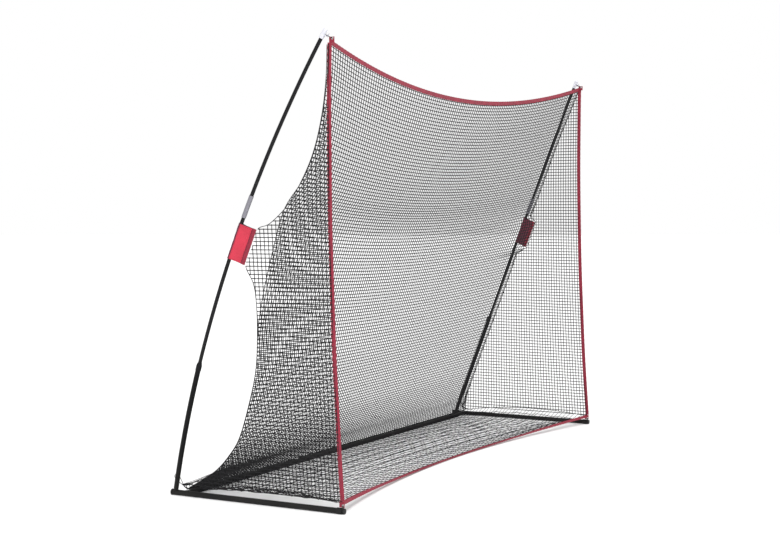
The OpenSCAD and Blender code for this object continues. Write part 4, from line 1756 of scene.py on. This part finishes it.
    def closing_flap(self, side: Side) -> None:
        """The flap that closes the sleeve, with its rolled root and stitched border."""
        body = f"flap_{side.word}"
        piece = fitted_grid(
            f"sleeve_flap_{side.word}_cloth", 40, 64,
            lambda u, v: self.flap_point(side, u, v), (self.flap, self.length),
        )
        cloth(piece, 0.0013, 0.0004)
        face_out(piece)
        finish_piece(piece, body, Slot.SLEEVE, self.finishes.flap)
        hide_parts(f"sleeve_flap_{side.word}")
        spine = np.array([
            self.laid(side, 0.0, self.hinge_y, t * (self.length - 0.005))
            for t in np.linspace(-0.5, 0.5, 24)
        ])
        roll = strands(f"flap_roll_{side.word}", [spine], 0.0024, sides=3)
        # The rolled root wears the painted-shade copy of the red oxford as well.
        finish_piece(roll, body, Slot.SLEEVE, self.finishes.sleeve)
        paths: Paths = []
        border = [(0.06, 0.03, 0.06, 0.97, 26), (0.94, 0.03, 0.94, 0.97, 26),
                  (0.06, 0.03, 0.94, 0.03, 9), (0.06, 0.97, 0.94, 0.97, 9)]
        for u0, v0, u1, v1, count in border:
            for k in range(count):
                paths.append(np.array([
                    self.flap_point(side, lerp(u0, u1, (k + t) / count),
                                    lerp(v0, v1, (k + t) / count), up)
                    for t, up in ((0.12, 0.0004), (0.35, 0.0010), (0.65, 0.0010), (0.88, 0.0004))
                ]))
        seam = strands(f"flap_stitches_{side.word}", paths, 0.0009, sides=1)
        finish_piece(seam, body, Slot.SLEEVE, self.finishes.thread)

    def patches(self, side: Side) -> None:
        """The hook patch under the flap and the loop patch on the tail."""
        hook = fitted_grid(
            f"hook_patch_{side.word}", 12, 40,
            lambda u, v: self.flap_point(side, lerp(0.52, 0.92, u), lerp(0.06, 0.94, v), -0.0009),
            (0.023, 0.15),
        )
        cloth(hook, 0.0007, 0.0002)
        finish_piece(face_out(hook), f"flap_{side.word}", Slot.SLEEVE, self.finishes.hooks)
        loop = fitted_grid(
            f"loop_patch_{side.word}", 12, 40,
            lambda u, v: self.laid(side, lerp(0.030, 0.055, u), 0.0017, (v - 0.5) * 0.150),
            (0.025, 0.15),
        )
        cloth(loop, 0.0007, 0.0002)
        finish_piece(face_out(loop), "frame", Slot.SLEEVE, self.finishes.hooks)

    def build(self) -> None:
        """Makes both sleeves."""
        for side in Side:
            self.wrap(side)
            self.edge_band(side)
            self.closing_flap(side)
            self.patches(side)


@dataclass
class ElasticLoops:
    """The black elastic loops at the six fixing points."""

    finishes: Finishes
    pole: PoleLine = PoleLine()
    cord: float = 0.003
    run: float = 0.078
    tilt: float = 40.0
    front: tuple[float, float, float] = (0.0104, 0.0036, 0.0214)
    rear: tuple[float, float, float] = (0.0179, 0.0034, 0.040)
    top: tuple[float, float, float] = (0.008, 0.0035, 0.022)

    def ring(self, big: float, small: float, reach: float) -> np.ndarray:
        """A taut loop round two circles in the XY plane, the small one further up Y."""
        taper = math.asin((big - small) / reach)
        lower = np.linspace(taper, -math.pi - taper, 40)
        upper = np.linspace(math.pi - taper, taper, 20)
        low = np.c_[big * np.cos(lower), big * np.sin(lower)]
        high = np.c_[small * np.cos(upper), reach + small * np.sin(upper)]
        flat = np.vstack([low, high])
        return np.c_[flat, np.zeros(len(flat))]

    def loop(self, node: str, side: Side, where: Matrix, ring: np.ndarray) -> None:
        """Makes one loop.

        Args:
            node: The CAD node that it stands for.
            side: Which side it is on.
            where: The loop's place and axes on the right-hand side.
            ring: Its line in its own axes.
        """
        line = np.array([where @ Vector(p) for p in ring])
        steps = np.linspace(0, len(line), 120, endpoint=False)
        closed = np.vstack([line, line[:1]])
        fine = np.array([
            np.interp(steps, range(len(closed)), closed[:, k]) for k in range(3)
        ]).T
        piece = strands(f"{node}_cord", [side.turn(fine)], self.cord, sides=3, closed=True)
        face_out(piece)
        finish_piece(piece, "frame", Slot.ELASTIC, self.finishes.elastic)
        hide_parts(node)

    def build(self) -> None:
        """Makes the front, rear and top loops of both sides."""
        front = Matrix.Translation((1.525, -0.466, 0.014)) @ Matrix.Rotation(
            math.pi / 2, 4, "X"
        )
        turned = self.pole.net_turn - math.pi / 2
        rear = self.pole.at(self.run, turned) @ Matrix.Rotation(
            math.radians(-self.tilt), 4, "X"
        )
        length = 2 * self.pole.half_angle * self.pole.radius
        top = self.pole.at(length - 0.044, turned) @ Matrix.Translation((0.0, 0.022, 0.0242))
        for side in Side:
            self.loop(f"front_loop_{side.word}", side, front, self.ring(*self.front))
            self.loop(f"rear_loop_{side.word}", side, rear, self.ring(*self.rear))
            self.loop(f"top_loop_{side.word}", side, top, self.ring(*self.top))


@dataclass
class Studio:
    """The floor, the lights and the camera."""

    finishes: Finishes
    eye: tuple[float, float, float] = (-7.0735, -3.7052, 1.3744)
    pitch: float = math.radians(90 - 2.5035)
    heading: float = math.radians(-61.582)
    lens: float = 67.14
    floor_r: float = 60.0
    key_watts: float = 260.0
    sun_strength: float = 1.25
    sun_spread: float = math.radians(50)
    sun_turn: tuple[float, float, float] = (math.radians(24), math.radians(-18), 0.0)

    def build(self) -> None:
        """Sets up the whole studio."""
        pick()
        bpy.ops.mesh.primitive_circle_add(vertices=96, radius=self.floor_r, fill_type="NGON")
        floor = named("studio_floor")
        floor.data.materials.append(self.finishes.floor)
        world = bpy.data.worlds.new("studio_air")
        world.use_nodes = True
        sky = world.node_tree.nodes["Background"]
        sky.inputs["Color"].default_value = (1.0, 1.0, 1.0, 1.0)
        sky.inputs["Strength"].default_value = 1.0
        bpy.context.scene.world = world
        self.lamp("key_light", (-6.0, -5.0, 6.0), (0.0, 0.0, 0.9), 4.0, self.key_watts)
        sun = bpy.data.lights.new("soft_sun", "SUN")
        sun.energy = self.sun_strength
        sun.angle = self.sun_spread
        lamp = bpy.data.objects.new("soft_sun", sun)
        lamp.rotation_euler = self.sun_turn
        bpy.context.scene.collection.objects.link(lamp)
        sight = bpy.data.cameras.new("studio_camera")
        sight.lens = self.lens
        sight.sensor_width = 36.0
        sight.clip_end = 200.0
        camera = bpy.data.objects.new("studio_camera", sight)
        camera.location = self.eye
        camera.rotation_euler = (self.pitch, 0.0, self.heading)
        bpy.context.scene.collection.objects.link(camera)
        bpy.context.scene.camera = camera
        bpy.context.scene.view_settings.view_transform = "Standard"

    def lamp(
        self, name: str, where: tuple, target: tuple, size: float, watts: float
    ) -> None:
        """Hangs one soft light.

        Args:
            name: The light's name.
            where: Its place.
            target: What it points at.
            size: Its width.
            watts: Its power.
        """
        light = bpy.data.lights.new(name, "AREA")
        light.shape = "DISK"
        light.size = size
        light.energy = watts
        lamp = bpy.data.objects.new(name, light)
        lamp.location = where
        aim = Vector(target) - Vector(where)
        lamp.rotation_euler = aim.to_track_quat("-Z", "Y").to_euler()
        bpy.context.scene.collection.objects.link(lamp)


def main() -> None:
    """Builds the net's looks in order."""
    logging.basicConfig(level=logging.INFO, format="%(message)s")
    finishes = Finishes()
    Studio(finishes).build()
    hard = HardParts(finishes)
    hard.dress()
    for side in Side:
        hard.weld(side)
    ElasticLoops(finishes).build()
    Netting(finishes).build()
    Binding(finishes).build()
    CornerTabs(finishes).build()
    PoleSleeves(finishes).build()


if __name__ == "__main__":
    main()
